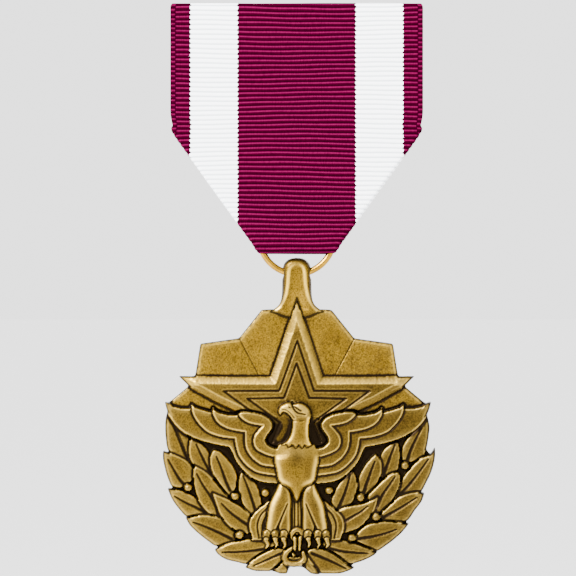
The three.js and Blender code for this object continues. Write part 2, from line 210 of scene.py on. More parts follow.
class Relief:
    """Struck heights on a grid, with the oxide and painted shade, the rubbed metal and painted highlights,
    and the sandy grain that lie on them.
    """

    def __init__(self, x_range, z_range, floor):
        self.x, self.z = np.meshgrid(np.arange(*x_range, PITCH), np.arange(*z_range, PITCH))
        self.height = np.full(self.x.shape, float(floor))
        self.ink, self.rub, self.sand = np.zeros((3, *self.x.shape))
        self.inside = np.full(self.x.shape, -5.0)

    def near(self, points, margin=0.7):
        """The part of the grid round some points."""
        p = np.asarray(points, float)
        xs, zs = self.x[0], self.z[:, 0]
        cols = slice(*np.searchsorted(xs, [p[:, 0].min() - margin, p[:, 0].max() + margin]))
        rows = slice(*np.searchsorted(zs, [p[:, 1].min() - margin, p[:, 1].max() + margin]))
        return rows, cols

    def over(self, outline):
        """The part of the grid round an outline, its x and z, and the distance inside the outline."""
        where = self.near(outline)
        x, z = self.x[where], self.z[where]
        return where, x, z, distance_inside(outline, x, z)

    def darken(self, where, ink):
        self.ink[where] = np.maximum(self.ink[where], ink)

    def put(self, where, d, up, rim, shadow, dark):
        """Lays a shape of height up over what is there, where d, the distance inside it, is positive.

        A ditch runs round it, shadow wide, with oxide and a painted shadow in it, and rim is how rubbed its
        edge is.
        """
        within = d > 0
        ditch = np.clip(1 + d / shadow, 0, 1) * ~within
        # Oxide and painted shadow outside the shape's edge.
        oxide_shadow = np.clip(OXIDE_SHADOW_FILL * (1 + d / (shadow + OXIDE_SHADOW_REACH)), 0, 1) * ~within
        edge = np.clip(1 - np.abs(d - EDGE_RIM) / RIM_HALF, 0, 1)
        self.height[where] = np.where(within, up, self.height[where] - DITCH * ditch)
        self.ink[where] = np.where(within, 0, np.maximum(self.ink[where], dark * oxide_shadow))
        self.rub[where] = np.where(within, rim * edge, self.rub[where] * (1 - ditch))
        self.sand[where] = np.where(within, SHAPE_SAND, self.sand[where])
        self.inside[where] = np.maximum(self.inside[where], d)

    def lay(self, outline, level, rise=0.12, roll=0.3, rim=0.6, shadow=0.34, dark=0.97):
        """A shape that rises from level, a number or a function of x and z, over a rounded edge."""
        where, x, z, d = self.over(outline)
        base = level(x, z) if callable(level) else level
        up = base + rise * np.sqrt(1 - (1 - np.clip(d / roll, 0, 1)) ** 2)
        self.put(where, d, up, rim, shadow, dark)

    def limb(self, points, radii, level, rim=0.4, shadow=0.2, flat=1.0):
        """A rounded limb along a line, its radius going from the first to the last of radii."""
        where = self.near(points, max(radii) + 0.6)
        line, along = distance_to_line(points, self.x[where], self.z[where])
        radius = np.interp(along, np.linspace(0, 1, len(radii)), radii)
        up = level + flat * np.sqrt(np.clip(radius**2 - line**2, 0, None))
        self.put(where, radius - line, up, rim, shadow, LIMB_DARK)

    def groove(self, points, width, depth=0.15, dark=0.9, taper=1.0, rims=0.0):
        """A cut line; taper is its width at the far end as a share of the near end's."""
        where = self.near(points)
        line, along = distance_to_line(points, self.x[where], self.z[where])
        half = width / 2 * (1 + (taper - 1) * along)
        cut = np.clip(1.25 - line / np.maximum(half, 0.02), 0, 1) * (self.inside[where] > 0)
        self.height[where] -= depth * cut
        self.darken(where, dark * cut)
        beside = np.clip(1 - np.abs(line - half - 0.12) / 0.12, 0, 1) * rims
        self.rub[where] = np.maximum(self.rub[where] * (1 - cut), beside * (1 - cut))


# ---- the struck face: rays, laurel and star ----

RAY_LEVEL, LEAF_LEVEL, STAR_LEVEL, WING_LEVEL, BODY_LEVEL = 0.35, 0.5, 0.45, 0.72, 0.85
FLOOR, BACK = 0.0, -1.0
GROUND_INK = 0.92  # the thick oxide on the ground between the leaves

face = Relief((-19.8, 19.9), (-79.9, -39.0), FLOOR)

GROUND = [
    (-16.2, -54.2), (-17.6, -56.5), (-17.7, -61.3), (-17.9, -64.0), (-17.0, -66.8), (-16.9, -68.6),
    (-15.0, -71.2), (-13.2, -73.4), (-11.0, -75.2), (-9.6, -76.6), (-6.9, -77.6), (-4.6, -78.3),
    (-1.0, -77.7), (0.9, -77.7), (5.0, -78.5), (7.8, -77.7), (10.9, -75.8), (13.2, -73.8),
    (15.2, -71.6), (16.2, -69.8), (17.2, -67.4), (18.0, -65.0), (18.6, -62.6), (17.8, -61.5),
    (17.9, -57.0), (16.4, -54.2),
]
face.lay(GROUND, FLOOR, rise=0.0)
face.ink[face.inside > 0] = GROUND_INK
face.rub[:] = 0

# The folded rays behind the star: each panel stands up along the line from its outer corner.
FAN_Z = -57.5  # where those lines meet
RAY_CORNERS = [(4.85, -42.4), (8.0, -46.35), (13.35, -47.1), (14.0, -51.2)]
RAYS = [(0, -42.2), *RAY_CORNERS, (14.6, -53.2), (10, -56), (0, -60)]
CREASE = np.array([(7.95, -46.4), (5.2, -51.6)])
SMALL_RAY = np.array([(14.4, -52.6), (15.1, -53.1), (18.0, -55.5), (17, -58), (8, -58), (8, -55)])
FOLD_RISE = 0.22
FOLDS = [0, 0.25, 1, 0, 1, 0]  # its share at the level, at each corner from the lowest up, and upright


def fan(x, z):
    """Height of the folded rays: high towards the corners, low along the creases."""
    angle = np.degrees(np.arctan2(z - FAN_Z, np.abs(x)))
    corners = [math.degrees(math.atan2(cz - FAN_Z, cx)) for cx, cz in RAY_CORNERS[::-1]]
    return RAY_LEVEL + FOLD_RISE * np.interp(angle, [0, *corners, 90], FOLDS)


face.lay(RAYS + flipped(RAYS[1:]), fan, rise=0.08, roll=0.35, rim=0.7)
for side in BOTH_SIDES:
    face.groove(CREASE * (side, 1), 0.22, depth=0.1, dark=0.75, taper=0.8)
    face.lay(SMALL_RAY * (side, 1), 0.2, rise=0.1, rim=0.6)
face.sand[face.inside > 0] = 1.0

# Laurel leaves, those underneath first: the line round each leaf from its tip, then its vein.
LEAVES_LEFT = [
    ([(-17.85, -56.2), (-18.15, -57.5), (-18.2, -59.0), (-18.1, -60.6), (-17.85, -61.8),
      (-17.2, -62.4), (-16.0, -63.2), (-14.5, -64.2), (-14.8, -62.5), (-14.8, -60.5),
      (-16.2, -58.0)],
     [(-14.7, -63.8), (-15.5, -62.2), (-16.5, -59.8), (-17.6, -57.3)]),
    ([(-18.5, -61.9), (-18.55, -62.8), (-18.3, -64.2), (-17.9, -65.6), (-17.3, -66.9),
      (-16.3, -67.1), (-15.0, -66.6), (-14.3, -65.6), (-14.3, -64.3), (-15.3, -63.3),
      (-16.6, -62.6)],
     [(-15.4, -66.7), (-16.1, -66.0), (-16.9, -64.7), (-17.8, -63.1)]),
    ([(-14.65, -60.0), (-14.85, -61.2), (-14.85, -62.4), (-14.5, -63.6), (-13.9, -64.4),
      (-12.6, -65.2), (-11.4, -65.9), (-11.8, -64.2), (-12.0, -62.6), (-12.6, -61.5),
      (-13.6, -60.6)],
     [(-11.8, -65.0), (-12.4, -64.1), (-13.1, -62.7), (-13.9, -61.0)]),
    ([(-11.5, -61.75), (-11.9, -62.5), (-11.9, -63.8), (-11.5, -65.2), (-10.8, -66.3),
      (-9.9, -67.5), (-9.2, -68.2), (-8.5, -67.3), (-8.25, -66.2), (-8.35, -65.0),
      (-8.9, -63.9), (-9.8, -62.8), (-10.6, -62.05)],
     [(-9.2, -67.4), (-9.8, -66.1), (-10.4, -64.4), (-11.1, -62.7)]),
    ([(-17.9, -67.1), (-17.3, -68.6), (-16.4, -69.9), (-15.2, -71.1), (-14.2, -70.8),
      (-12.9, -70.9), (-11.8, -71.0), (-12.6, -69.8), (-13.8, -68.6), (-15.2, -67.7),
      (-16.6, -67.25)],
     [(-12.5, -70.5), (-13.8, -69.8), (-15.3, -69.1), (-16.9, -68.2)]),
    ([(-14.15, -64.0), (-14.3, -65.3), (-14.2, -66.8), (-13.8, -68.2), (-13.2, -69.4),
      (-12.3, -70.4), (-11.0, -71.1), (-9.5, -71.2), (-9.0, -69.0), (-10.3, -67.4),
      (-11.4, -66.1), (-12.7, -64.8)],
     [(-10.8, -71.0), (-11.2, -69.6), (-12.0, -68.1), (-13.0, -66.6), (-13.8, -65.1)]),
    ([(-15.4, -71.25), (-14.7, -72.4), (-13.4, -73.6), (-12.1, -74.6), (-11.2, -75.15),
      (-10.0, -74.9), (-8.6, -74.5), (-8.4, -73.4), (-9.3, -72.3), (-10.3, -71.4),
      (-11.6, -70.95), (-13.4, -70.85)],
     [(-9.0, -74.1), (-10.6, -73.3), (-12.4, -72.5), (-14.3, -71.8)]),
    ([(-7.65, -64.7), (-8.0, -65.7), (-8.1, -66.8), (-7.9, -68.1), (-7.4, -69.4), (-6.6, -70.6),
      (-5.8, -70.8), (-4.9, -69.7), (-4.95, -68.3), (-5.4, -66.9), (-6.2, -65.7)],
     [(-5.7, -70.2), (-6.2, -68.6), (-6.8, -66.9), (-7.4, -65.4)]),
    ([(-11.6, -67.8), (-11.2, -69.0), (-10.8, -70.2), (-10.2, -71.3), (-9.3, -72.3),
      (-8.3, -73.0), (-6.6, -73.4), (-6.0, -72.2), (-6.3, -71.0), (-7.4, -69.9),
      (-8.6, -69.1), (-10.0, -68.45)],
     [(-6.7, -72.2), (-7.9, -71.4), (-9.2, -70.4), (-10.4, -69.2)]),
    ([(-11.4, -75.6), (-10.9, -76.3), (-9.8, -77.0), (-8.2, -77.4), (-6.8, -77.6), (-5.4, -76.3),
      (-4.0, -75.6), (-2.8, -74.8), (-4.6, -74.1), (-6.5, -74.1), (-8.6, -74.5),
      (-10.3, -75.05)],
     [(-3.6, -75.35), (-5.8, -75.7), (-8.0, -75.9), (-10.3, -75.95)]),
    ([(-7.2, -78.1), (-6.0, -78.55), (-4.6, -78.65), (-3.4, -78.55), (-2.6, -77.7), (-1.6, -76.6),
      (-1.4, -75.6), (-3.0, -75.4), (-4.4, -75.95), (-5.8, -76.8)],
     [(-2.0, -76.1), (-3.2, -76.6), (-4.5, -77.2), (-5.9, -77.8)]),
]
LEAVES_RIGHT = [
    ([(18.0, -56.6), (16.8, -58.1), (15.6, -59.8), (14.7, -61.2), (14.5, -62.6), (15.0, -63.7),
      (16.6, -63.2), (17.5, -62.8), (18.0, -61.6), (18.3, -60.0), (18.4, -58.4)],
     [(15.3, -63.2), (15.8, -61.8), (16.5, -60.3), (17.3, -58.8)]),
    ([(14.0, -60.5), (12.8, -61.1), (11.7, -62.3), (11.5, -64.0), (11.7, -65.7), (12.9, -65.2),
      (13.9, -64.7), (14.25, -63.5), (14.3, -62.0)],
     [(12.0, -65.2), (12.6, -63.7), (13.1, -62.3), (13.6, -61.1)]),
    ([(10.95, -62.3), (10.1, -63.1), (9.2, -64.3), (8.6, -65.6), (8.45, -66.9), (8.9, -68.0),
      (9.8, -67.9), (10.8, -66.9), (11.4, -65.9), (11.75, -64.6), (11.6, -63.3)],
     [(9.3, -67.6), (9.8, -66.1), (10.3, -64.7), (10.8, -63.4)]),
    ([(19.15, -61.4), (18.5, -62.4), (17.2, -62.95), (16.2, -63.8), (15.2, -64.9), (14.5, -66.0),
      (14.1, -67.2), (13.4, -68.9), (15.0, -68.2), (16.4, -67.7), (17.25, -67.6),
      (18.0, -66.3), (18.7, -64.8), (19.15, -63.0)],
     [(14.0, -68.3), (15.6, -66.6), (17.0, -64.8), (18.2, -63.1)]),
    ([(14.05, -64.85), (12.9, -65.2), (11.8, -66.1), (10.8, -67.1), (9.8, -68.2), (10.2, -69.6),
      (10.8, -70.9), (12.2, -70.0), (13.2, -68.8), (13.9, -67.6), (14.3, -66.4),
      (14.35, -65.4)],
     [(11.1, -69.6), (11.9, -68.0), (12.8, -66.7), (13.6, -65.5)]),
    ([(7.8, -64.5), (6.8, -65.3), (5.9, -66.4), (5.2, -67.6), (4.8, -68.8), (5.2, -70.0),
      (6.4, -70.0), (7.5, -69.3), (8.15, -68.2), (8.4, -67.0), (8.25, -65.7)],
     [(5.8, -69.8), (6.5, -68.2), (7.0, -66.7), (7.4, -65.3)]),
    ([(17.75, -67.75), (16.8, -67.65), (15.4, -67.85), (14.1, -68.4), (12.9, -69.4), (11.6, -70.7),
      (11.9, -71.6), (13.3, -71.6), (14.6, -71.9), (15.5, -71.5), (16.4, -70.2),
      (17.3, -69.0)],
     [(12.1, -71.1), (13.9, -70.1), (15.2, -69.3), (16.6, -68.4)]),
    ([(15.6, -71.95), (14.2, -71.85), (12.6, -71.7), (11.0, -71.8), (9.7, -72.15), (8.6, -73.0),
      (8.0, -74.1), (8.8, -74.7), (10.0, -75.3), (11.1, -75.85), (12.5, -75.0), (13.8, -74.0),
      (15.0, -72.8)],
     [(8.6, -74.1), (10.4, -73.8), (12.1, -73.4), (13.8, -72.8)]),
    ([(11.2, -68.35), (10.2, -68.85), (9.0, -69.25), (7.6, -69.5), (6.3, -69.9), (5.3, -70.6),
      (5.8, -72.0), (6.0, -73.4), (7.5, -73.1), (8.8, -72.5), (9.7, -71.6), (10.5, -70.6),
      (11.0, -69.4)],
     [(6.3, -71.9), (7.6, -71.1), (8.8, -70.4), (9.8, -69.6)]),
    ([(11.2, -76.0), (10.0, -75.45), (8.6, -74.95), (7.0, -74.4), (5.2, -74.1), (3.6, -74.4),
      (4.0, -75.5), (5.2, -76.0), (6.2, -76.8), (7.0, -77.5), (8.2, -77.5), (9.6, -77.0),
      (10.6, -76.5)],
     [(4.2, -75.35), (6.2, -75.8), (8.0, -76.0), (9.8, -76.1)]),
    ([(8.1, -78.1), (7.0, -77.6), (6.0, -76.8), (4.9, -76.1), (3.8, -75.6), (2.2, -75.4),
      (1.4, -76.0), (1.9, -77.3), (3.0, -78.8), (4.4, -79.0), (6.0, -78.95), (7.4, -78.5)],
     [(2.1, -76.1), (3.6, -76.7), (5.2, -77.4), (6.8, -78.2)]),
]
NERVE = [(-14.9, -63.6), (-15.5, -61.6), (-16.3, -59.6), (-17.1, -58.2)]  # beside the top left vein
LEAF_STEP, LEAF_STEPS = 0.03, 5  # neighbouring leaves lie at slightly different heights

for leaves in (LEAVES_LEFT, LEAVES_RIGHT):
    for number, (outline, vein) in enumerate(leaves):
        level = LEAF_LEVEL + LEAF_STEP * (number % LEAF_STEPS)
        face.lay(smooth([*outline, outline[0]]), level, rise=0.24, roll=0.8, rim=0.6, shadow=0.32)
        face.groove(smooth(vein), 0.52, depth=0.16, dark=1.0, taper=0.5, rims=0.1)
face.groove(smooth(NERVE), 0.2, depth=0.1)

BERRIES = [(-15.0, -67.05), (-8.5, -68.25), (-4.35, -67.75), (-7.9, -73.6),
           (15.0, -64.0), (8.85, -68.4), (4.5, -67.45), (11.0, -71.1), (7.65, -73.95)]
for x, z in BERRIES:
    face.limb([(x - 0.05, z), (x + 0.05, z)], (0.52, 0.52), 0.6, rim=0.7, shadow=0.35, flat=0.9)

# The star: bevelled edges round a flat field, with two smaller stars cut into it.
STAR_HALF = [(3.65, -51.7), (16.35, -51.6), (14.6, -53.3), (11, -55.3), (8.2, -56.6), (5.9, -59.4),
             (6.3, -64.0)]
STAR = [(0.05, -40.8), *STAR_HALF, (0, -63.5), *flipped(STAR_HALF)]
CUT_STARS = [  # the top point, then the line down from it on the right
    ((0.1, -46.7), [(2.4, -53.6), (10.1, -53.65), (6.6, -56.2), (4.6, -57.6), (5.5, -61.5)]),
    ((0.0, -49.8), [(1.75, -54.6), (6.8, -54.7), (2.25, -58.0), (3.35, -60.7)]),
]
BEVEL, BEVEL_RISE = 1.0, 0.48
APEX_FROM, APEX_LIFT = -45.5, 0.42  # the top point rides over the lug's foot
ARM_LINE = -52.9  # the bevels above it get a painted highlight, as if lit from above
CREST = 0.15  # half width of the worn line along a bevel's top


def inset(points, by):
    """The outline moved inwards by a constant distance, its corners kept sharp."""
    p = np.asarray(points, float)
    back, ahead = p - np.roll(p, 1, axis=0), np.roll(p, -1, axis=0) - p
    inward = []
    for edge in (back, ahead):
        unit = edge / np.hypot(*edge.T)[:, None]
        inward.append(np.stack([unit[:, 1], -unit[:, 0]], 1))
    corner = inward[0] + inward[1]
    return p + by * corner * (2 / (corner**2).sum(1))[:, None]


def lay_star():
    where, x, z, d = face.over(STAR)
    wobble = 0.07 * np.sin(9.0 * x + 5.0 * z) * np.sin(6.3 * z - 3.1 * x)
    to_crest = -distance_inside(inset(STAR, BEVEL), x, z)
    slope = np.clip(d / np.maximum(d + to_crest, 0.05), 0, 1)
    lift = APEX_LIFT * np.clip((z - APEX_FROM) / 3.0, 0, 1)
    face.put(where, d, STAR_LEVEL + lift + BEVEL_RISE * slope, rim=0.1, shadow=0.36, dark=0.95)
    on_bevel = (d > 0) & (to_crest > wobble)
    crest = np.clip(1 - np.abs(to_crest) / CREST, 0, 1)
    upper = z > ARM_LINE
    # Painted highlight on the bevels above the arm line, and the worn line along every bevel's top.
    bevel_highlight_and_wear = np.where(on_bevel & upper, 0.05 + 0.42 * slope, 0) + np.where(upper, 0.3, 0.42) * crest
    face.ink[where] = np.where((d > 0) & ~on_bevel, 0.1, face.ink[where])
    face.rub[where] = np.where(d > 0.05, np.maximum(face.rub[where], bevel_highlight_and_wear), face.rub[where])
    face.sand[where] = np.where(d > 0, np.where(on_bevel & upper, 0.6, 0.35), face.sand[where])


lay_star()
for apex, half in CUT_STARS:
    face.groove(flipped(half) + [apex] + half, 0.33, depth=0.2, dark=1.0, rims=0.12)

# ---- the struck face: the eagle, the bands beside it and the knot ----

BAND = [*smooth([(3.4, -68.4), (5.0, -69.8), (6.2, -71.0), (6.55, -72.2), (6.35, -73.4), (6.1, -74.2)]),
        (3.5, -74.4), (2.5, -70)]
BAND_LINES = [
    smooth([(4.0, -69.8), (5.0, -70.9), (5.45, -72.3), (5.2, -74)]),
    smooth([(3.9, -70.6), (4.5, -71.5), (4.75, -72.5), (4.6, -74)]),
]
for side in BOTH_SIDES:
    face.lay(np.array(BAND) * (side, 1), 0.6, rise=0.1, rim=0.7)
    for line in BAND_LINES:
        face.groove(line * (side, 1), 0.26, depth=0.15, dark=0.95, rims=0.35)

# Wings: four nested feathers, each closed along the wing's upper and inner edge.
INNER_EDGE = smooth([(-2.0, -61.4), (-2.9, -61.55), (-3.6, -61.35), (-4.15, -60.9), (-4.3, -60.3),
                     (-4.0, -59.7), (-3.5, -59.0), (-3.3, -58.3), (-3.6, -57.7), (-4.2, -57.2),
                     (-5.0, -56.85), (-6.2, -56.6), (-7.4, -56.5), (-8.1, -56.75)])
FEATHER_TIPS = [
    [(-8.4, -57.0), (-9.4, -56.95), (-10.6, -56.7), (-11.3, -56.3), (-11.55, -56.0)],
    [(-11.8, -56.6), (-13.0, -56.25), (-14.1, -55.9), (-14.5, -55.5)],
    [(-14.8, -56.1), (-16.0, -56.05), (-17.1, -55.8), (-17.6, -55.3), (-18.3, -55.1)],
]
FEATHERS = [
    [(-17.9, -56.5), (-17.2, -57.8), (-16.3, -58.8), (-15.2, -59.65), (-13.5, -60.45),
     (-11.5, -61.0), (-9.3, -61.45)],
    [(-14.45, -56.4), (-14.1, -57.3), (-13.3, -58.4), (-12.2, -59.35), (-10.5, -59.95),
     (-8.55, -60.2)],
    [(-11.6, -56.6), (-11.4, -57.2), (-10.8, -58.1), (-9.6, -58.8), (-8.2, -59.15), (-7.15, -59.3)],
    [(-7.6, -57.4), (-6.7, -58.0), (-5.5, -58.3), (-4.65, -58.4)],
]
BREAST_ENDS = [
    [(-8.9, -62.2), (-8.5, -63.2), (-7.8, -64.2), (-6.9, -65.1), (-5.8, -65.9), (-4.3, -66.35),
     (-1.5, -66.6)],
    [(-8.4, -61.2), (-8.05, -62.4), (-7.3, -63.5), (-6.3, -64.4), (-5.0, -65.0), (-1.5, -65.5)],
    [(-7.15, -60.5), (-6.95, -61.6), (-6.3, -62.7), (-5.4, -63.5), (-4.4, -63.95), (-1.5, -64.25)],
    [(-5.3, -59.1), (-5.85, -59.9), (-5.95, -60.8), (-5.6, -61.6), (-5.0, -62.05), (-3.6, -62.6),
     (-1.5, -63.0)],
]
FEATHER_STEP, FEATHER_RISE = 0.12, 0.16
WING_TOP = WING_LEVEL + 3 * FEATHER_STEP + FEATHER_RISE


def feather(number):
    """The outline of a nested feather, 0 the outermost, on the viewer's left."""
    top = [point for tips in FEATHER_TIPS[: 3 - number] for point in tips]
    tip = top[-1] if top else INNER_EDGE[-1]
    lower = smooth([tip, *FEATHERS[number]])
    return np.array([*INNER_EDGE, *top, *lower[1:], *smooth(BREAST_ENDS[number])])


for number in range(len(FEATHERS)):
    outline = feather(number)
    for shape in (outline, opposite(outline)):
        # The outermost feather gets a wider ditch, with oxide and painted shadow, over the star and leaves
        # round the wing.
        face.lay(shape, WING_LEVEL + FEATHER_STEP * number, rise=FEATHER_RISE, roll=0.4, rim=0.75,
                 shadow=0.3 if number else 0.45)

TAIL = [(-1.3, -67), (1.3, -67), (1.1, -73.6), (-1.1, -73.6)]
TAIL_LINES = (-0.75, -0.25, 0.2, 0.65)
face.lay(TAIL, 0.7, rise=0.15)
for x in TAIL_LINES:
    face.groove([(x, -68.4), (x * 1.15, -73.4)], 0.2, depth=0.15, dark=0.9, rims=0.4)

THIGH = smooth([(2.2, -66.2), (3.0, -67.6), (3.7, -69.2), (4.05, -70.9), (4.2, -73.3),
                (2.4, -73.6), (0.95, -73.3), (0.8, -70.5), (0.75, -68.2), (1.15, -66.9)], True)
THIGH_MIDDLE = 2.2
THIGH_LINE = np.array([(2.9, -73.1), (2.1, -71.2), (1.25, -69.2)])
ANKLE_GAP = np.array([(2.1, -73.5), (2.55, -72.1), (3.0, -73.5)])
for side in BOTH_SIDES:
    face.lay(THIGH * (side, 1), BODY_LEVEL, rise=0.75, roll=1.6, rim=0.0, shadow=0.3)
    where, x, _, d = face.over(THIGH * (side, 1))
    # Painted highlights along the thigh's outer side and, fainter, its inner side.
    outer_highlight = 0.9 * bell(d, 0.38, 0.36) * (side * x > THIGH_MIDDLE)
    inner_highlight = 0.6 * bell(d, 0.25, 0.22) * (side * x <= THIGH_MIDDLE)
    face.rub[where] = np.where(d > 0, np.maximum(outer_highlight, inner_highlight), face.rub[where])
    face.groove(THIGH_LINE * (side, 1), 0.36, depth=0.2, rims=0.4, dark=0.95, taper=0.5)
    where = face.near([(side * 2.55, -72.9)])
    gap = 0.5 + distance_inside(ANKLE_GAP * (side, 1), face.x[where], face.z[where]) / 0.2
    face.darken(where, np.clip(gap, 0, 0.95))
    face.height[where] -= 0.3 * np.clip(gap, 0, 1)

BREAST = smooth([(-2.0, -60.9), (-2.8, -61.9), (-3.05, -63.0), (-2.8, -64.5), (-2.45, -66.1),
                 (-1.25, -66.9), (-0.65, -67.7), (-0.4, -68.4), (0.0, -68.9), (0.4, -68.4),
                 (0.65, -67.7), (1.25, -66.9),
                 (2.45, -66.1), (2.8, -64.5), (3.05, -63.0), (2.8, -61.9), (2.0, -60.9)], True)
BREAST_TOP, BREAST_LOW = -60.9, -66.9
SHOULDER_LINE = -63.05  # above it the breast runs into the wings with no edge


def lay_breast():
    where, x, z, d = face.over(BREAST)
    height, ink, rub = (layer[where].copy() for layer in (face.height, face.ink, face.rub))
    swell = 0.3 + 0.5 * smoothstep(np.clip((BREAST_TOP - z) / 3.2, 0, 1))
    up = BODY_LEVEL + 0.2 + swell * np.sqrt(1 - (1 - np.clip(d / 1.9, 0, 1)) ** 2)
    face.put(where, d, up, rim=0.0, shadow=0.24, dark=0.95)
    # Painted highlights down both sides of the breast.
    side_light = 0.85 * bell(d, 0.3, 0.32) * np.clip((z - BREAST_LOW) / 0.8, 0, 1)
    face.rub[where] = np.where(d > 0, side_light, face.rub[where])
    shoulder = np.where(d > 0, np.maximum(height, WING_TOP), height)
    spread = np.clip((3.2 - np.abs(x)) / 2.2, 0, 1) * (d > 0)
    merged = shoulder + np.clip(up - shoulder, 0, None) * spread
    above = np.clip((z - SHOULDER_LINE) / 0.7, 0, 1)
    for layer, joined in ((face.height, merged), (face.ink, np.where(d > 0, 0, ink)),
                          (face.rub, np.where(d > 0, 0.12, rub))):
        layer[where] = layer[where] * (1 - above) + joined * above
    patch = 0.42 * bell(x, 0.0, 1.0) * bell(z, -62.7, 1.1)
    worn = 0.05 * np.clip((d - 0.6) / 0.6, 0, 1)
    face.darken(where, np.where(d > 0, 0.08 + worn + patch, 0))
    face.sand[where] = np.where(d > 0, 0.12, face.sand[where])


lay_breast()

# Deep pockets beside the neck, under the curl of each wing, filled with oxide and painted shade.
POCKET = smooth([(0.9, -57.4), (2.9, -57.2), (3.5, -58.2), (3.7, -59.2), (4.4, -60.0), (4.5, -60.9),
                 (3.2, -61.7), (2.2, -61.4), (1.2, -60.6), (0.8, -59.4)], True)
# Parts of the cut stars' lines show in them: the line, its half width, how much oxide and painted shade it
# takes off.
LIT_STRIPS = [
    ([(-1.35, -57.9), (-1.65, -59.0), (-2.4, -60.3)], 0.38, 0.72),
    ([(2.5, -58.1), (3.4, -60.4)], 0.1, 0.5),
]
for side in BOTH_SIDES:
    where, x, z, d = face.over(POCKET * (side, 1))
    low = (face.height[where] < WING_LEVEL + 0.28) & (d > 0)
    deep = 0.9 * np.clip(d / 0.3, 0, 1) * np.clip((-57.3 - z) / 1.3, 0, 1)
    for line, half_width, light in LIT_STRIPS:
        away, _ = distance_to_line(line, x, z)
        deep *= 1 - light * np.clip(1.6 - away / half_width, 0, 1)
    face.darken(where, np.where(low, deep, 0))
    face.height[where] -= np.where(low, 0.25 * np.clip(d / 0.3, 0, 1), 0)

NECK_LEFT = smooth([(-0.75, -57.2), (-0.6, -58.3), (-0.85, -59.6), (-1.35, -60.5), (-2.0, -61.05)])
NECK_END = [(-1.35, -60.95), (-1.15, -61.4), (-0.55, -61.0), (-0.15, -61.5), (0.3, -61.0),
            (0.75, -61.5), (1.1, -61.0), (1.45, -61.4), (2.1, -61.05)]
NECK_RIGHT = smooth([(2.1, -61.05), (1.75, -60.0), (1.72, -58.5), (1.95, -57.0)])
NECK = np.vstack([NECK_LEFT, NECK_END, NECK_RIGHT[1:]])
face.lay(NECK, BODY_LEVEL + 0.6, rise=0.45, roll=1.2, rim=0.3, shadow=0.16, dark=0.75)
where, x, z, d = face.over(NECK)
face.sand[where] = np.where(d > 0, 0.15, face.sand[where])
face.darken(where, np.where(d > 0, 0.14 * bell(x, 0.45, 0.55) * bell(z, -59.2, 1.3), 0))
# Painted highlights along both sides of the neck, brighter on the right.
for line, light in ((NECK_RIGHT, 0.9), (NECK_LEFT, 0.5)):
    side_light = light * bell(distance_to_line(line, x, z)[0], 0.24, 0.2)
    face.rub[where] = np.maximum(face.rub[where], np.where(d > 0, side_light, 0))

HEAD = smooth([(-2.3, -57.0), (-2.55, -56.4), (-2.3, -55.75), (-1.7, -55.35), (-1.0, -55.2),
               (-0.3, -55.4), (0.3, -55.25), (1.1, -55.5), (1.75, -56.1), (2.0, -56.9),
               (1.85, -57.6), (0.6, -57.8), (-0.6, -57.6), (-0.95, -57.1), (-1.5, -56.65),
               (-1.95, -56.6)], True)
BEAK_LINE = smooth([(-2.0, -56.15), (-1.5, -56.2), (-0.9, -56.65), (-0.35, -57.3)])
JAW_LINE = smooth([(-1.6, -56.55), (-1.0, -57.0), (-0.6, -57.6)])
BROW = smooth([(-0.65, -55.25), (-0.55, -55.7), (-0.3, -56.2), (0.15, -56.6), (0.7, -56.75),
               (1.2, -56.85)])
EYE = smooth([(-0.3, -55.75), (0.1, -56.05), (0.6, -56.35)])
NOSTRIL = [(-1.1, -55.8), (-0.85, -55.95)]
ink_before, rub_before = face.ink.copy(), face.rub.copy()
face.lay(HEAD, BODY_LEVEL + 0.7, rise=0.5, roll=0.9, rim=0.55, shadow=0.12, dark=0.85)
where, _, z, d = face.over(HEAD)
worn = 0.45 * np.clip(d / 0.2, 0, 1) * np.clip((z + 57.2) / 0.8, 0, 1)
face.rub[where] = np.maximum(face.rub[where], worn)
# The back of the head runs into the neck with no line between them.
nape = np.clip((-57.0 - face.z) / 0.4, 0, 1) * np.clip((face.x + 0.3) / 0.4, 0, 1)
nape *= distance_inside(NECK, face.x, face.z) > -0.1
face.ink = face.ink * (1 - nape) + ink_before * nape
face.rub = face.rub * (1 - nape) + rub_before * nape
face.groove(BEAK_LINE, 0.17, depth=0.14, rims=0.5)
face.groove(JAW_LINE, 0.12, depth=0.08, dark=0.6)
face.groove(BROW, 0.4, depth=0.2, rims=0.6, taper=0.5)
face.groove(EYE, 0.3, depth=0.12, dark=0.9, rims=0.4)
face.groove(NOSTRIL, 0.2, depth=0.1, dark=0.8)

# Knot and ribbon tails below the tail, then the feet that grip the laurel.
RIBBON_TAILS = [
    [(-1.3, -76.9), (-1.9, -77.2), (-2.7, -78.0), (-3.4, -78.6), (-2.4, -78.95), (-1.3, -78.95),
     (-1.0, -78.0)],
    [(1.2, -76.0), (1.9, -77.1), (2.75, -78.2), (3.2, -79.1), (2.0, -79.0), (0.9, -78.1),
     (0.7, -77)],
]
KNOT = [(-1.4, -76.6), (-1.2, -78.0), (1.0, -78.05), (0.9, -76.6)]
LOOP = smooth([(-0.5, -75.3), (-1.5, -76.1), (-1.55, -77.1), (-0.75, -77.6), (0.4, -77.5),
               (1.0, -76.9), (0.9, -76.0)])
CORD_RING = [(0.05 + 0.72 * math.cos(a), -73.6 + 0.78 * math.sin(a))
             for a in np.linspace(-0.9, math.pi + 0.9, 15)]
CORDS = (-0.22, 0.42)
TOES = {-1: (4.2, 2.95, 1.8), 1: (1.55, 2.9, 4.1)}  # for each side, how far out
for tail in RIBBON_TAILS:
    face.lay(tail, 0.5, rise=0.15, rim=0.75)
face.lay(KNOT, 0.45, rise=0.1, rim=0.6)
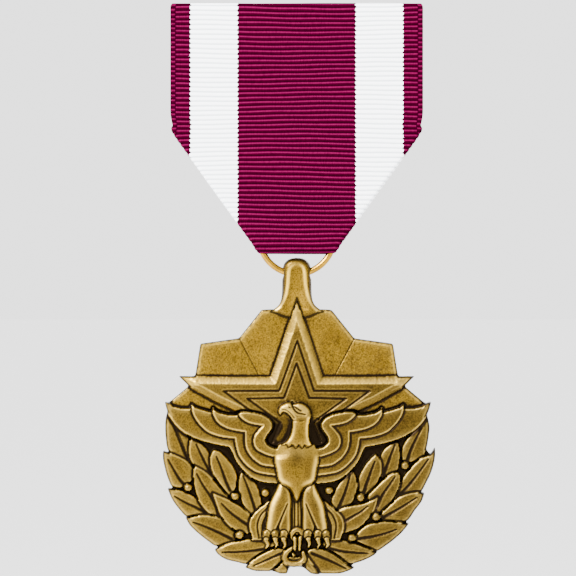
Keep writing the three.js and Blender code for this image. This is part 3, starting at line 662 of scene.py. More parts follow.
face.limb(LOOP, (0.3, 0.42, 0.42, 0.3), 0.6)
face.ink[face.near([(-0.05, -76.45)], 0.35)] = 0.95
face.limb([(-0.5, -76.25), (-0.42, -76.35)], (0.26, 0.26), 0.5, rim=0.5)
face.limb(CORD_RING, (0.3, 0.34, 0.3), BODY_LEVEL)
for x in CORDS:
    face.limb([(x, -73.9), (x - 0.02, -75.6)], (0.22, 0.27, 0.2), 0.95, rim=0.5)
for side, toes in TOES.items():
    for x in [side * toe for toe in toes]:
        face.limb([(x, -73.35), (x, -73.85)], (0.5, 0.55), 0.95, rim=0.5, flat=0.8)
        claw = smooth([(x + 0.06 * side, -74.2), (x + 0.22, -74.8), (x - 0.02, -75.35)])
        face.limb(claw, (0.34, 0.26, 0.1), 0.95, rim=0.6)

# ---- the struck face: its finish ----

FIELD_INK = 0.36  # the thin oxide left over the fields
SPECKS = 0.22  # how much more lies in the grain
RELIEF_CONTRAST = 0.15  # a difference of eased height that counts as a full hollow or height
SHADE_ACROSS = ([-18, -11, -2, 10], [0.0, 0.04, 0.05, 0.24])  # painted shade, darker towards the right, as if lit from the left
SHADE_UP = ([-54, -48], [1.0, 0.4])  # and the rays lighter
GRAIN_HEIGHT = 0.011


def finish(relief):
    """Oxide and painted shade gather in the hollows, painted shade runs along the outer edge and over the
    right side, high places wear bright, and a sandy grain covers the fields.
    """
    grains = blurred(np.random.default_rng(7).normal(size=relief.x.shape), 0.7)
    grains /= grains.std()
    eased = 1 - np.exp(-relief.height)  # so that the tall head and breast cast no wide painted shade
    around = blurred(eased, 4.5)
    # Oxide and painted shade in the hollows and beside tall parts.
    hollow = np.clip((around - eased) / RELIEF_CONTRAST, 0, 1)
    proud = np.clip((eased - around) / RELIEF_CONTRAST, 0, 1)
    worn = np.clip(relief.sand / SHAPE_SAND, 0, 1) * np.clip((0.7 - relief.sand) / 0.2, 0, 1)
    # Painted shade along the medal's outer edge.
    rim_shade = 0.95 * np.clip(1.5 - relief.inside / 0.2, 0, 1)
    rim_line = np.clip(1 - np.abs(relief.inside - 0.38) / 0.16, 0, 1)
    from_rim = np.clip(relief.inside / 0.7, 0, 1)
    # Painted shade, darker to the right as if lit from the left, and less of it up on the rays.
    painted_shade = np.interp(relief.x, *SHADE_ACROSS) * np.interp(relief.z, *SHADE_UP)
    specks = SPECKS * relief.sand * np.clip(grains + 0.3, 0, 1.4)
    relief.ink = relief.ink + FIELD_INK * worn * (1 - relief.rub) + painted_shade * (1 - 0.35 * relief.rub)
    relief.ink = np.clip(relief.ink + 0.6 * hollow + rim_shade + specks, 0, 1)
    relief.rub = relief.rub * (1 - 0.3 * hollow) + 0.25 * proud * from_rim + 0.4 * rim_line
    relief.rub = np.clip(relief.rub, 0, 1)
    relief.height = blurred(relief.height, 0.55) + GRAIN_HEIGHT * relief.sand * grains


finish(face)


# ---- meshes ----

BLOCK = 8  # grid steps along a large square of a flat side


def mesh_object(name, verts, faces, attributes=None):
    """A mesh object in the row frame; verts are sheet millimetres as x, depth, z."""
    mesh = bpy.data.meshes.new(name)
    mesh.from_pydata(np.stack(to_frame(*np.asarray(verts, float).T), 1).tolist(), [], faces)
    mesh.validate()
    for key, values in (attributes or {}).items():
        layer = mesh.attributes.new(key, "FLOAT", "POINT")
        layer.data.foreach_set("value", np.asarray(values, np.float32))
    mesh.polygons.foreach_set("use_smooth", [True] * len(mesh.polygons))
    mesh.update()
    return add_object(name, mesh)


def cell_corners(grid):
    """A grid's values at its cells' four corners, in order round each cell."""
    return [grid[:-1, :-1], grid[:-1, 1:], grid[1:, 1:], grid[1:, :-1]]


def grid_faces(keep, covered=False):
    """Squares, and triangles along a stepped edge, between the kept points of a grid.

    Cells that are covered get no square.
    """
    corners = cell_corners(np.arange(keep.size).reshape(keep.shape))
    kept = cell_corners(keep)
    full = np.logical_and.reduce(kept) & np.logical_not(covered)
    faces = np.stack([c[full] for c in corners], 1).tolist()
    for skip in range(4):
        three = [n for n in range(4) if n != skip]
        part = np.logical_and.reduce([kept[n] for n in three]) & ~kept[skip]
        faces += np.stack([corners[n][part] for n in three], 1).tolist()
    return faces


def flat_faces(keep):
    """The same cover for a flat side, with one large square wherever a whole block is kept."""
    number = np.arange(keep.size).reshape(keep.shape)
    covered = np.zeros((keep.shape[0] - 1, keep.shape[1] - 1), bool)
    large = []
    for r in range(0, keep.shape[0] - BLOCK, BLOCK):
        for c in range(0, keep.shape[1] - BLOCK, BLOCK):
            if keep[r : r + BLOCK + 1, c : c + BLOCK + 1].all():
                covered[r : r + BLOCK, c : c + BLOCK] = True
                rows, cols = [r, r, r + BLOCK, r + BLOCK], [c, c + BLOCK, c + BLOCK, c]
                large.append(number[rows, cols].tolist())
    return large + grid_faces(keep, covered)


def open_edges(faces):
    """The edges that only one face uses, in that face's direction."""
    edges = {}
    for f in faces:
        for a, b in zip(f, f[1:] + f[:1]):
            if not edges.pop((b, a), False):
                edges[(a, b)] = True
    return list(edges)


def loop_of(edges):
    """The longest loop of points that the edges make."""
    after = {}
    for a, b in edges:
        after.setdefault(a, []).append(b)
    loops = []
    while after:
        loop, at = [], next(iter(after))
        while at in after:
            loop.append(at)
            ahead = after[at].pop()
            if not after[at]:
                del after[at]
            at = ahead
        loops.append(loop)
    return max(loops, key=len)


def evened(values, times):
    """Values round a closed loop, each eased towards its neighbours."""
    for _ in range(times):
        values = values / 2 + (np.roll(values, 1, axis=0) + np.roll(values, -1, axis=0)) / 4
    return values


def outlined(relief):
    """The relief's grid faces, the same for a flat side, the rim loop, and points drawn to the outline."""
    d = relief.inside
    keep = d > -0.5 * PITCH
    faces = grid_faces(keep)
    used = np.unique([v for f in faces for v in f])
    renumber = np.full(keep.size, -1)
    renumber[used] = np.arange(len(used))
    faces, flat = ([renumber[f].tolist() for f in cover] for cover in (faces, flat_faces(keep)))
    loop = np.array(loop_of(open_edges(faces)))
    slope_z, slope_x = np.gradient(blurred(d, 0.8), PITCH)
    inward = np.stack([slope_x.ravel()[used], slope_z.ravel()[used]], 1)
    inward /= np.maximum(np.hypot(*inward.T), 0.3)[:, None]
    points = np.stack([relief.x.ravel()[used], relief.z.ravel()[used]], 1)
    rim = points[loop] - inward[loop] * np.clip(d.ravel()[used][loop], -PITCH, 1.2 * PITCH)[:, None]
    height, ink, rub = (layer.ravel()[used] for layer in (relief.height, relief.ink, relief.rub))
    # The grid leaves small steps in the rim.
    points[loop] = evened(rim, 3)
    height[loop] = evened(height[loop], 8)
    return faces, flat, loop, points, height, ink, rub


def closed_piece(name, points, loop, front, back, ink, rub):
    """A closed mesh between two sides, each a depth for every point and faces, joined round a loop."""
    count = len(points)
    verts = [np.column_stack([points[:, 0], depth, points[:, 1]]) for depth in (front[0], back[0])]
    after = np.roll(loop, -1)
    walls = np.stack([after, loop, loop + count, after + count], 1).tolist()
    under = [[v + count for v in f[::-1]] for f in back[1]]
    return mesh_object(name, np.vstack(verts), front[1] + under + walls, {"ink": ink, "rub": rub})


# Painted shade on the outermost points of the rim, and how far the rim drops.
RIM_SHADE, RIM_DROP = 0.92, 0.1
WALL_INK, WALL_RUB = 0.7, 0.1
CHAMFER = 0.1  # round the back's edge


def struck_piece(name, relief, back):
    """The relief as a piece with a wall round it and a flat back at depth back."""
    faces, flat, loop, points, height, ink, rub = outlined(relief)
    height[loop] -= RIM_DROP
    ink[loop] = RIM_SHADE
    under = np.full(len(height), float(back))
    under[loop] += CHAMFER
    inks, rubs = np.append(ink, np.full(len(ink), WALL_INK)), np.append(rub, np.full(len(rub), WALL_RUB))
    return closed_piece(name, points, loop, (height, faces), (under, flat), inks, rubs)


def two_sided_piece(name, relief, back_depth):
    """The relief as a piece whose back lies at back_depth(z, height)."""
    faces, _, loop, points, height, ink, rub = outlined(relief)
    back = back_depth(points[:, 1], height)
    return closed_piece(name, points, loop, (height, faces), (back, faces), np.tile(ink, 2), np.tile(rub, 2))


def swept(name, path, radius, sides=20):
    """A round wire along path, points of x, depth, z; radius is one number or one for each point."""
    path = np.asarray(path, float)
    radii = np.broadcast_to(radius, len(path))[:, None, None]
    tangents = np.gradient(path, axis=0)
    tangents /= np.linalg.norm(tangents, axis=1)[:, None]
    side = np.cross(tangents, (0.0, 1.0, 0.0))
    side /= np.linalg.norm(side, axis=1)[:, None]
    other = np.cross(side, tangents)
    turn = np.linspace(0, 2 * math.pi, sides, endpoint=False)[:, None]
    rings = path[:, None] + side[:, None] * np.cos(turn) * radii + other[:, None] * np.sin(turn) * radii
    faces = [list(range(sides))[::-1], [(len(path) - 1) * sides + n for n in range(sides)]]
    for a in range(0, (len(path) - 1) * sides, sides):
        for n in range(sides):
            m = (n + 1) % sides
            faces.append([a + n, a + m, a + sides + m, a + sides + n])
    return mesh_object(name, rings.reshape(-1, 3), faces)


# ---- the lug ----

RING_RADIUS = (RING_HIGH[0] - RING_LOW[0]) / 2 / MM - WIRE
PIVOT_Z = (RING_LOW[2] - TOP_Z) / MM + WIRE  # middle of the ring's wire at its lowest place
LUG_EDGE, LUG_FRONT, LUG_FOOT = 0.25, 1.38, 0.72  # depths: round its edge, above, and at its foot
LUG_RIM = 0.85  # how far inside the edge its roundness ends
LUG_WAIST, LUG_FLARE = -39.6, 2.6  # where it starts to flatten towards its foot, and over what height
LUG_HOLLOWS = (0.14, 0.25)  # how hollow it is inside its ridge, above and at its foot
BACK_WAIST, BACK_FLARE = -39.4, 1.2  # the same flattening on its back
SOLDER_GAP = 0.02  # the back of the foot stands this much in front of the planchet's back
LUG_LEFT = smooth([(0.0, -35.2), (-0.85, -35.33), (-1.5, -35.72), (-1.87, -36.4), (-1.97, -37.6),
                   (-2.0, -38.8), (-2.05, -40.2), (-2.17, -41.1), (-2.5, -41.8), (-3.1, -42.3),
                   (-3.65, -42.7)])
LUG_FOOT_LINE = [(-2.8, -42.9), (-1.9, -43.3), (-1.25, -43.45), (0, -43.5), (1.25, -43.45),
                 (1.9, -43.3), (2.9, -42.85)]
LUG_RIDGE = [(-3.0, -42.65), (-2.25, -41.85), (-1.65, -40.7), (-1.25, -39.1), (-1.08, -37.2),
             (-0.85, -36.5), (-0.4, -36.15), (0.0, -36.1)]
LUG_OUTLINE = np.vstack([LUG_LEFT, LUG_FOOT_LINE, opposite(LUG_LEFT)])
HOLE, HOLE_REACH = 0.52, 2.8  # the hole's radius in its middle, and how far out it's cut


def lug_relief():
    lug = Relief((-4.6, 4.7), (-44.2, -34.9), 0.0)
    d = distance_inside(LUG_OUTLINE, lug.x, lug.z)
    lug.inside = d
    down = np.clip((LUG_WAIST - lug.z) / LUG_FLARE, 0, 1)
    crown = LUG_FRONT + (LUG_FOOT - LUG_FRONT) * smoothstep(down)
    roll = np.sqrt(1 - (1 - np.clip(d / LUG_RIM, 0, 1)) ** 2)
    hollow = np.clip((d - LUG_RIM) / 0.7, 0, 1) * (LUG_HOLLOWS[0] * (1 - down) + LUG_HOLLOWS[1] * down)
    lug.height = blurred(LUG_EDGE + (crown - LUG_EDGE) * roll - hollow, 0.8)
    ridge_line = smooth(LUG_RIDGE + flipped(LUG_RIDGE[:-1]))
    ridge, ridge_at = distance_to_line(ridge_line, lug.x, lug.z)
    over_top = np.clip(1 - np.abs(ridge_at - 0.5) / 0.12, 0, 1)
    # Painted highlight along the lug's ridge, fainter over the top of the arch.
    lug.rub = np.clip((1.4 - 1.2 * over_top) * np.clip(1 - ridge / 0.28, 0, 1), 0, 1)
    # Painted shade where the lug's edge rounds back.
    lug_edge_shade = 0.75 * np.clip(1.15 - d / 0.6, 0, 1)
    beside = 0.28 * np.clip(1 - np.abs(ridge - 0.5) / 0.22, 0, 1) * (np.abs(lug.x) < 3.4)
    crown_dark = 0.5 * np.clip((lug.z + 36.5) / 0.8, 0, 1)
    round_apex = np.clip(1.5 + distance_inside(STAR, lug.x, lug.z) / 0.2, 0, 0.95)
    lug.ink = np.maximum.reduce([lug_edge_shade, beside + crown_dark, round_apex])
    return lug


def shade_foot():
    """Lays oxide and painted shade along the lug's foot on the struck face."""
    where, x, _, d = face.over(LUG_OUTLINE)
    reach = np.interp(np.abs(x), [2.2, 3.4], [0.38, 0.22])
    line = np.clip(1.8 * (1 - np.abs(d) / reach), 0, 1) * (face.height[where] < 0.8)
    face.darken(where, 0.95 * line)


def lug_back(z, height):
    """The back of the lug: rounded like its front round the hole, flat where it meets the planchet."""
    t = np.clip((BACK_WAIST - z) / BACK_FLARE, 0, 1)
    return -(height * (1 - t) + (-BACK - SOLDER_GAP) * t)


def hole_radius(x):
    """The lug's hole widens to both sides, where the ring's wire curves up and away."""
    return HOLE + RING_RADIUS - math.sqrt(RING_RADIUS**2 - x * x)


def drill(piece, tool):
    """Cuts the tool's shape out of a piece, and takes the tool away."""
    cut = piece.modifiers.new("hole", "BOOLEAN")
    cut.operation = "DIFFERENCE"
    cut.object = tool
    bpy.context.view_layer.update()
    seen = piece.evaluated_get(bpy.context.evaluated_depsgraph_get())
    drilled = bpy.data.meshes.new_from_object(seen)
    piece.modifiers.clear()
    piece.data = drilled
    bpy.data.objects.remove(tool)


shade_foot()
lug_piece = two_sided_piece("suspension_lug", lug_relief(), lug_back)
hole_line = np.linspace(-HOLE_REACH, HOLE_REACH, 25)
bore = swept("bore", [(x, 0.0, PIVOT_Z) for x in hole_line], [hole_radius(x) for x in hole_line], 24)
drill(lug_piece, bore)

# ---- the ring ----

SPLIT = 0.008  # radians, the butt joint of the wire's two ends, up inside the ribbon's fold
ring_x, ring_z = cad_middle("suspension_ring")
turns = np.linspace(math.pi / 2 + SPLIT, 2.5 * math.pi - SPLIT, 121)
ring_piece = swept("jump_ring", [(ring_x + RING_RADIUS * math.cos(a), 0.0,
                                  ring_z + RING_RADIUS * math.sin(a)) for a in turns], WIRE)

# ---- the ribbon ----

HALF_WIDTH, HALF_FOLD, SHOULDER, DROP = 17.45, 4.65, -16.95, -34.7
CLOTH = 0.38
RIB, RIB_HEIGHT, ROWS_PER_RIB = 0.647, 0.085, 5
FRONT, HEM_BACK, DRAPE_BACK = 1.2, -0.2, -1.2  # depths of the middle of the cloth
TOP_TURN, LOW_TURN = (FRONT - HEM_BACK) / 2, (FRONT - DRAPE_BACK) / 2  # radii of its two folds
TAIL_END, SEAM_TOP = -15.2, -11.3
SEAM_DEPTH = HEM_BACK - CLOTH - 0.06  # of the end that is sewn to the hem's tail
TURN_IN = 0.22  # bending radius of the tucked-in corners
CORNER, EASE, EASE_DEPTH = 0.5, 2.2, 0.32
MEETING, PRESSED = 5.0, 0.9  # how far up its tucked corners come together, and how closely
COLUMNS = (22, 6, 7)  # from the middle out: the open face, the bend, the tucked flap
SLANT = np.array([HALF_WIDTH - HALF_FOLD, SHOULDER - DROP])  # along a slanted edge
OUT_X, OUT_Z = np.array([SLANT[1], -SLANT[0]]) / np.hypot(*SLANT)  # straight out from it
PIN_Z = cad_middle("pin_stem")[1]
SLITS = [  # for the pin's joint and catch: middle, width and height
    (cad_middle("pin_joint")[0], PIN_Z, 4.6, 3.0),
    (cad_middle("catch_base")[0], PIN_Z, 4.0, 4.6),
]


def ribbon_path():
    """Middle line of the cloth, from its hidden tail over the brooch and round the ring to its end."""
    half = CLOTH / 2
    line = [(HEM_BACK, TAIL_END), (HEM_BACK, -half - TOP_TURN)]
    line += [(FRONT - TOP_TURN - TOP_TURN * math.cos(a), -half - TOP_TURN + TOP_TURN * math.sin(a))
             for a in np.linspace(0, math.pi, 9)[1:]]
    line += [(FRONT - LOW_TURN + LOW_TURN * math.cos(a), DROP + half + LOW_TURN - LOW_TURN * math.sin(a))
             for a in np.linspace(0, math.pi, 17)]
    line += [(DRAPE_BACK, -24.0), (DRAPE_BACK + 0.08, -21.5), (SEAM_DEPTH - 0.06, -16.5),
             (SEAM_DEPTH, -15.0), (SEAM_DEPTH, SEAM_TOP)]
    return np.array(line)


def flat_heights(s, height, top, bottom):
    """Height on the flat strip: the fold's own curve is left out, so the fold lies at DROP."""
    reach = LOW_TURN * math.pi / 2
    from_fold = np.abs(s - bottom)
    flat = np.where(from_fold < reach, DROP + from_fold / reach * (CLOTH / 2 + LOW_TURN),
                    np.maximum(height, DROP))
    return np.where(s < top, 0.0, flat)  # the hem's tail isn't tucked in


def strip_columns(flat_z):
    """Places across each row of the strip, closer together in its bends and flaps."""
    edge = HALF_WIDTH - np.clip(SHOULDER - flat_z, 0, None) * SLANT[0] / SLANT[1]
    edge = np.minimum(edge, HALF_WIDTH - 0.4)
    bend = np.minimum(edge + TURN_IN * math.pi / OUT_X, HALF_WIDTH - 0.15)
    lines = [0 * edge, edge, bend, 0 * edge + HALF_WIDTH]
    right = [lines[0][:, None]]
    for start, end, count in zip(lines, lines[1:], COLUMNS):
        right.append(start[:, None] + (end - start)[:, None] * np.linspace(0, 1, count + 1)[1:])
    right = np.hstack(right)
    return np.hstack([-right[:, :0:-1], right])


def tucked(s, depth, height, flat_z, across, bottom):
    """The strip's middle surface with its bottom corners folded in behind the slanted edges."""
    beyond = OUT_X * (np.abs(across) - HALF_WIDTH) + OUT_Z * (flat_z[:, None] - SHOULDER)
    past = np.clip(np.where(flat_z[:, None] < SHOULDER, beyond, 0), 0, None)
    half_turn = math.pi * TURN_IN
    bent = np.minimum(past, half_turn)
    shift = TURN_IN * np.sin(bent / TURN_IN) - np.clip(past - half_turn, 0, None) - past
    x = np.sign(across) * (np.abs(across) + OUT_X * shift)
    # The hem's top corners are a little rounded, and so is the turn into each slanted edge.
    below_top = np.clip(CORNER - (height.max() - height), 0, CORNER)[:, None]
    at_shoulder = np.clip(1 - np.abs(height - SHOULDER) / EASE, 0, 1)[:, None] ** 2
    cut = CORNER - np.sqrt(CORNER**2 - below_top**2) + EASE_DEPTH * at_shoulder
    x = x * (1 - cut * (np.abs(x) / HALF_WIDTH) ** 6 / HALF_WIDTH)
    # The tucked corners of the front and the back meet again at the bottom fold.
    facing = np.where(s < bottom, 1, -1)[:, None]
    together = 1 - np.clip(np.abs(s - bottom)[:, None] / MEETING, 0, 1)
    y = depth[:, None] - facing * TURN_IN * (1 - np.cos(bent / TURN_IN))
    y = y * (1 - PRESSED * bent / half_turn * together)
    return x, y, height[:, None] + OUT_Z * shift


def rib_phase(s, across, top, bottom):
    """How many ribs down the strip a point lies; ribs run across it and waver a little.

    They are numbered downwards on both layers, so that their lit sides face up on both.
    """
    waver = 0.13 * np.sin(across * 0.17 + s[:, None] * 0.23)
    waver += 0.025 * np.sin(across * 0.8 - s[:, None] * 1.1)
    fall = np.where(s < bottom, s, 2 * bottom - s)
    fall = np.where(s < top, 2 * top - s, fall)[:, None]
    return (fall + waver) / RIB


def ribbon_piece():
    """The ribbon, and its flat length."""
    path = ribbon_path()
    length = np.concatenate([[0], np.cumsum(np.hypot(*np.diff(path, axis=0).T))])
    s = np.linspace(0, length[-1], int(round(length[-1] / RIB * ROWS_PER_RIB)) + 1)
    depth, height = (np.interp(s, length, line) for line in path.T)
    top, bottom = s[np.argmax(height)], length[np.argmin(path[:, 1])]
    flat_z = flat_heights(s, height, top, bottom)
    across = strip_columns(flat_z)
    x, y, z = tucked(s, depth, height, flat_z, across, bottom)
    phase = rib_phase(s, across, top, bottom)
    middle = np.stack([x, y, z], -1)
    normal = np.cross(np.gradient(middle, axis=0), np.gradient(middle, axis=1))
    normal /= np.maximum(np.linalg.norm(normal, axis=2), 1e-9)[..., None]
    thick = (CLOTH / 2 + RIB_HEIGHT * (np.abs(np.sin(math.pi * phase)) - 0.6))[..., None]
    sides = [(middle + way * normal * thick).reshape(-1, 3) for way in (1, -1)]
    mid_x = (x[:-1, :-1] + x[1:, 1:]) / 2
    mid_z = (z[:-1, :-1] + z[1:, 1:]) / 2
    hole = np.zeros(mid_x.shape, bool)
    for slit_x, slit_z, wide, tall in SLITS:
        hole |= (np.abs(mid_x - slit_x) < wide / 2) & (np.abs(mid_z - slit_z) < tall / 2)
    front = grid_faces(np.ones(across.shape, bool), hole & (s[:-1] < top)[:, None])
    count = across.size
    faces = [f[::-1] for f in front] + [[v + count for v in f] for f in front]
    faces += [[a, b, b + count, a + count] for a, b in open_edges(front)]
    marks = {"across": across, "phase": phase, "along": np.repeat(s, across.shape[1])}
    marks = {key: np.tile(values.ravel(), 2) for key, values in marks.items()}
    return mesh_object("ribbon", np.vstack(sides), faces, marks), s[-1]


ribbon, ribbon_length = ribbon_piece()
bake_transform(ribbon)
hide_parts("ribbon_hem", "ribbon_drape")


# ---- materials ----


class Look:
    """The shader nodes of a material or world, and short ways to add to them.

    A value may be a number, a colour as three numbers, a Vector, or another node's output.
    """

    def __init__(self, owner):
        owner.use_nodes = True
        self.owner = owner
        self.nodes, self.links = owner.node_tree.nodes, owner.node_tree.links

    def feed(self, socket, value):
        if isinstance(value, bpy.types.NodeSocket):
            self.links.new(value, socket)
        else:
            socket.default_value = (*value, 1.0) if isinstance(value, tuple) else value

    def node(self, kind, output, inputs, **settings):
        """A new node's output; inputs are its sockets' values, and settings its options."""
        node = self.nodes.new("ShaderNode" + kind)
        for key, value in settings.items():
            setattr(node, key, value)
        for socket, value in inputs.items():
            self.feed(node.inputs[socket], value)
        return node.outputs[output]

    def noise(self, scale, detail, stretch=(1, 1, 1)):
        """Noise over the object's own coordinates; scale is in features per metre."""
        where = self.node("TexCoord", "Object", {})
        mapped = self.node("Mapping", "Vector", {"Vector": where, "Scale": Vector(stretch)})
        return self.node("TexNoise", "Fac", {"Vector": mapped, "Scale": scale, "Detail": detail})

    def ramp(self, source, *stops):
        """Colours from a source between 0 and 1; a stop is a place and a colour or a grey."""
        node = self.nodes.new("ShaderNodeValToRGB")
        elements = node.color_ramp.elements
        while len(elements) < len(stops):
            elements.new(0.5)
        for element, (at, color) in zip(elements, stops):
            element.position = at
            element.color = (*color, 1.0) if isinstance(color, tuple) else (color, color, color, 1.0)
        self.links.new(source, node.inputs["Fac"])
        return node.outputs["Color"]

    def mix(self, factor, first, second, mode="MIX"):
        """Mixes two colours."""
        node = self.nodes.new("ShaderNodeMix")
        node.data_type = "RGBA"
        node.blend_type = mode
        for name, value in (("Factor", factor), ("A", first), ("B", second)):
            self.feed([s for s in node.inputs if s.name == name and s.enabled][0], value)
        return [s for s in node.outputs if s.enabled][0]

    def math(self, operation, *values, clamp=False):
        return self.node("Math", "Value", dict(enumerate(values)), operation=operation, use_clamp=clamp)

    def attribute(self, name):
        return self.node("Attribute", "Fac", {}, attribute_name=name)

    def surface(self, color, roughness, marks=None, depth=0.0, strength=1.0, metallic=0.0, specular=0.5):
        """Finishes a material; marks stand up by depth metres."""
        shader = self.nodes["Principled BSDF"]
        values = {"Base Color": color, "Roughness": roughness, "Metallic": metallic,
                  "Specular IOR Level": specular}
        if marks is not None:
            heights = {"Height": marks, "Distance": depth, "Strength": strength}
            values["Normal"] = self.node("Bump", "Normal", heights)
        for socket, value in values.items():
            self.feed(shader.inputs[socket], value)
        return self.owner


def new_look(name):
    return Look(bpy.data.materials.new(name))


# The darkest colour on the next line stands for the deepest oxide and painted shade alike.
BRONZE_MID, BRONZE_DEEP = (0.18, 0.103, 0.007), (0.115, 0.064, 0.005)
BRONZE_BRIGHT, DEEP_OXIDE_AND_SHADE = (0.63, 0.405, 0.045), (0.006, 0.0037, 0.0018)
FILM_TINT = (0.5, 0.52, 1.0)  # what half the full depth of oxide and painted shade lets through


def antique_bronze():
    """Struck bronze: dark oxide in the cuts, a sandy grain in the fields, bright rubbed edges, with painted
    shade and painted highlights laid on the same way.
    """
    look = new_look("antique_bronze")
    grain, mottle = look.noise(5200, 2.0), look.noise(420, 4.0)
    tone = look.ramp(mottle, (0.3, BRONZE_DEEP), (0.62, BRONZE_MID))
    field = look.mix(1.0, tone, look.ramp(grain, (0.36, 0.45), (0.56, 1.0)), "MULTIPLY")
    # Worn metal and painted highlights brighten the bronze; oxide and painted shade darken it.
    rubbed = look.mix(look.attribute("rub"), field, BRONZE_BRIGHT)
    twice = look.math("MULTIPLY", look.attribute("ink"), 2.0)
    thin = look.math("MINIMUM", twice, 1.0)
    thick = look.math("SUBTRACT", twice, 1.0, clamp=True)
    film = look.mix(1.0, rubbed, FILM_TINT, "MULTIPLY")
    darkened = look.mix(thick, look.mix(thin, rubbed, film), DEEP_OXIDE_AND_SHADE)
    rough = look.ramp(mottle, (0.3, 0.46), (0.7, 0.34))
    return look.surface(darkened, rough, grain, 0.00002, 0.6, metallic=1.0)


def gilt_wire():
    """Bright drawn brass with faint marks along it."""
    look = new_look("gilt_wire")
    marks = look.noise(900, 3.0)
    tone = look.ramp(marks, (0.3, (0.16, 0.082, 0.004)), (0.7, (0.3, 0.16, 0.01)))
    rough = look.ramp(marks, (0.3, 0.32), (0.7, 0.2))
    return look.surface(tone, rough, marks, 0.00002, 0.3, metallic=1.0)


def stamped_brass():
    """Satin sheet brass, a little tarnished in patches."""
    look = new_look("stamped_brass")
    brushed = look.noise(1800, 2.0, stretch=(0.08, 1, 1))
    tone = look.ramp(look.noise(260, 4.0), (0.3, (0.16, 0.092, 0.01)), (0.65, (0.3, 0.18, 0.028)))
    rough = look.ramp(brushed, (0.3, 0.42), (0.7, 0.26))
    return look.surface(tone, rough, brushed, 0.00002, 0.4, metallic=1.0)


def drawn_steel():
    """Bright drawn wire with fine lines along its length."""
    look = new_look("drawn_steel")
    lines = look.noise(3000, 2.0, stretch=(0.03, 1, 1))
    tone = look.ramp(lines, (0.3, (0.09, 0.092, 0.1)), (0.7, (0.17, 0.173, 0.185)))
    rough = look.ramp(lines, (0.3, 0.3), (0.7, 0.18))
    return look.surface(tone, rough, lines, 0.00001, 0.4, metallic=1.0)


CRIMSON_LOW, CRIMSON, CRIMSON_HIGH = (0.006, 0.0, 0.0014), (0.018, 0.0, 0.0042), (0.083, 0.001, 0.025)
WHITE_LOW, WHITE_HIGH = (0.47, 0.50, 0.53), (0.88, 0.90, 0.92)
STRIPE_INNER, STRIPE_OUTER, SELVAGE = 8.2, 14.65, 16.75
SELVAGE_LINE = 0.07  # half width of the dark line beside the firm edge
SCALLOP = 0.22  # how far the stripes' edges step in and out with the ribs
CLOTH_ROUGHNESS = 0.7


def grosgrain():
    """Ribbed silk: crimson with two white stripes, threads along the strip, a firm woven edge."""
    look = new_look("grosgrain")
    across, along = look.attribute("across"), look.attribute("along")
    out = look.math("ABSOLUTE", across)
    half_rib = look.math("MULTIPLY", look.math("GREATER_THAN", out, SELVAGE), 0.5)
    turn = look.math("FRACT", look.math("ADD", look.attribute("phase"), half_rib))
    step = look.ramp(turn, (0.0, 0.0), (0.25, 1.0), (0.6, 1.0), (1.0, 0.0))
    offset = look.math("MULTIPLY", look.math("SUBTRACT", step, 0.5), SCALLOP)
    inside = look.math("GREATER_THAN", look.math("ADD", out, offset), STRIPE_INNER)
    outside = look.math("LESS_THAN", look.math("SUBTRACT", out, offset), STRIPE_OUTER)
    stripe = look.math("MULTIPLY", inside, outside)
    place = look.node("CombineXYZ", "Vector", {"X": look.math("MULTIPLY", across, 6.0), "Y": along})
    strand = look.node("TexNoise", "Fac", {"Vector": place, "Scale": 1.0, "Detail": 2.0},
                       noise_dimensions="2D")
    # Each rib is painted with a highlight on its upper flank, as if lit from above, and painted shade down
    # into its groove, in crimson and in white.
    crimson = look.ramp(turn, (0.0, CRIMSON_LOW), (0.24, CRIMSON_HIGH), (0.34, CRIMSON_HIGH),
                        (0.52, CRIMSON), (0.75, CRIMSON), (0.95, CRIMSON_LOW))
    white = look.ramp(turn, (0.0, WHITE_LOW), (0.25, WHITE_HIGH), (0.7, WHITE_HIGH), (0.95, WHITE_LOW))
    worn = look.mix(stripe, look.ramp(strand, (0.3, 0.72), (0.6, 1.0)), (1.0, 1.0, 1.0))
    woven = look.mix(1.0, look.mix(stripe, crimson, white), worn, "MULTIPLY")
    edge = look.math("MULTIPLY", look.math("COMPARE", out, SELVAGE, SELVAGE_LINE), 0.7)
    cloth = look.mix(edge, woven, CRIMSON_LOW)
    return look.surface(cloth, CLOTH_ROUGHNESS, strand, 0.00005, 0.5, specular=0.0)


def sewing_thread():
    """Twisted crimson thread."""
    look = new_look("sewing_thread")
    where = look.node("TexCoord", "Object", {})
    twist = look.node("TexWave", "Fac", {"Vector": where, "Scale": 1300, "Distortion": 0.6},
                      bands_direction="DIAGONAL")
    tone = look.mix(twist, CRIMSON_LOW, CRIMSON_HIGH)
    return look.surface(tone, CLOTH_ROUGHNESS, twist, 0.00006, 0.7, specular=0.0)


def coat(piece, material):
    piece.data.materials.clear()
    piece.data.materials.append(material)


planchet = struck_piece("planchet_relief", face, BACK)
bronze = antique_bronze()
for piece in (planchet, lug_piece):
    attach(piece, "medal")
    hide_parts("planchet")
    coat(piece, bronze)

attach(ring_piece, "ring")
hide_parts("suspension_ring")
coat(ring_piece, gilt_wire())
coat(ribbon, grosgrain())

brass, steel, thread = stamped_brass(), drawn_steel(), sewing_thread()
CAD_FINISHES = {"brooch_plate": brass, "pin_joint": brass, "joint_rivet": brass, "catch_base": brass,
                "catch_rotor": brass, "pin_stem": steel}
for name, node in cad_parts.items():
    if name in CAD_FINISHES or name.startswith("seam_stitch"):
        coat(node, CAD_FINISHES.get(name, thread))


# ---- light and floor ----

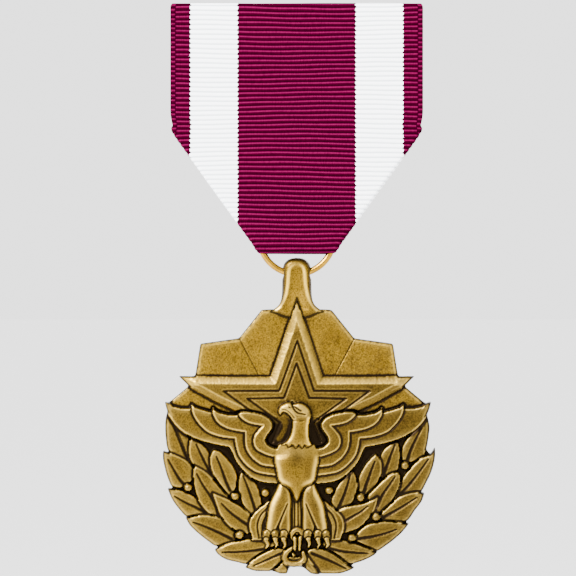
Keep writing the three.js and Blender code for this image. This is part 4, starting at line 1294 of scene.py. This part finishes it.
LIT_POINT = Vector(to_frame(0, 0, -42))
LIGHTS = [  # place from that point in metres, size and power
    ("key", (-0.4, -0.45, 0.45), 0.3, 34.0),
    ("fill", (0.5, -0.5, 0.1), 0.5, 2.0),
    ("back", (0.2, 0.6, 0.3), 0.6, 4.0),
]
for name, offset, size, power in LIGHTS:
    lamp = bpy.data.lights.new(name, "AREA")
    lamp.size = size
    lamp.energy = power
    light = add_object(name, lamp)
    light.location = LIT_POINT + Vector(offset)
    light.rotation_euler = (LIT_POINT - light.location).to_track_quat("-Z", "Y").to_euler()

FLOOR_DROP, FLOOR_SIZE = 0.12, 30.0
floor_z = cad_box[0][2] - FLOOR_DROP
half = FLOOR_SIZE / 2
floor_mesh = bpy.data.meshes.new("floor")
floor_mesh.from_pydata([(-half, -half, floor_z), (half, -half, floor_z), (half, half, floor_z),
                        (-half, half, floor_z)], [], [(0, 1, 2, 3)])
floor = add_object("floor", floor_mesh)
coat(floor, new_look("floor_paint").surface((0.9, 0.9, 0.9), 0.9))

# The studio round it is brighter above and to the left of the viewer, and even behind the medal.
BRIGHT_SIDE = Vector((-0.55, -0.4, 0.73)).normalized()
BEHIND_STRENGTH = 2.5
world = bpy.data.worlds.new("studio")
studio = Look(world)
direction = studio.node("TexCoord", "Generated", {})
facing = studio.node("VectorMath", "Value", {0: direction, 1: BRIGHT_SIDE}, operation="DOT_PRODUCT")
bevel_highlight_and_wear = studio.node("MapRange", "Result", {"Value": facing, "From Min": -0.3, "From Max": 0.95,
                                            "To Min": 1.35, "To Max": 3.7},
                     interpolation_type="SMOOTHSTEP")
depthwards = studio.node("SeparateXYZ", "Y", {"Vector": direction})
behind = studio.node("MapRange", "Result", {"Value": depthwards, "From Min": 0.0, "From Max": 0.6},
                     interpolation_type="SMOOTHSTEP")
strength = studio.node("Mix", "Result", {"Factor": behind, "A": bevel_highlight_and_wear, "B": BEHIND_STRENGTH})
background = studio.nodes["Background"]
studio.feed(background.inputs["Strength"], strength)
studio.feed(background.inputs["Color"], (1.0, 1.0, 1.0))
bpy.context.scene.world = world
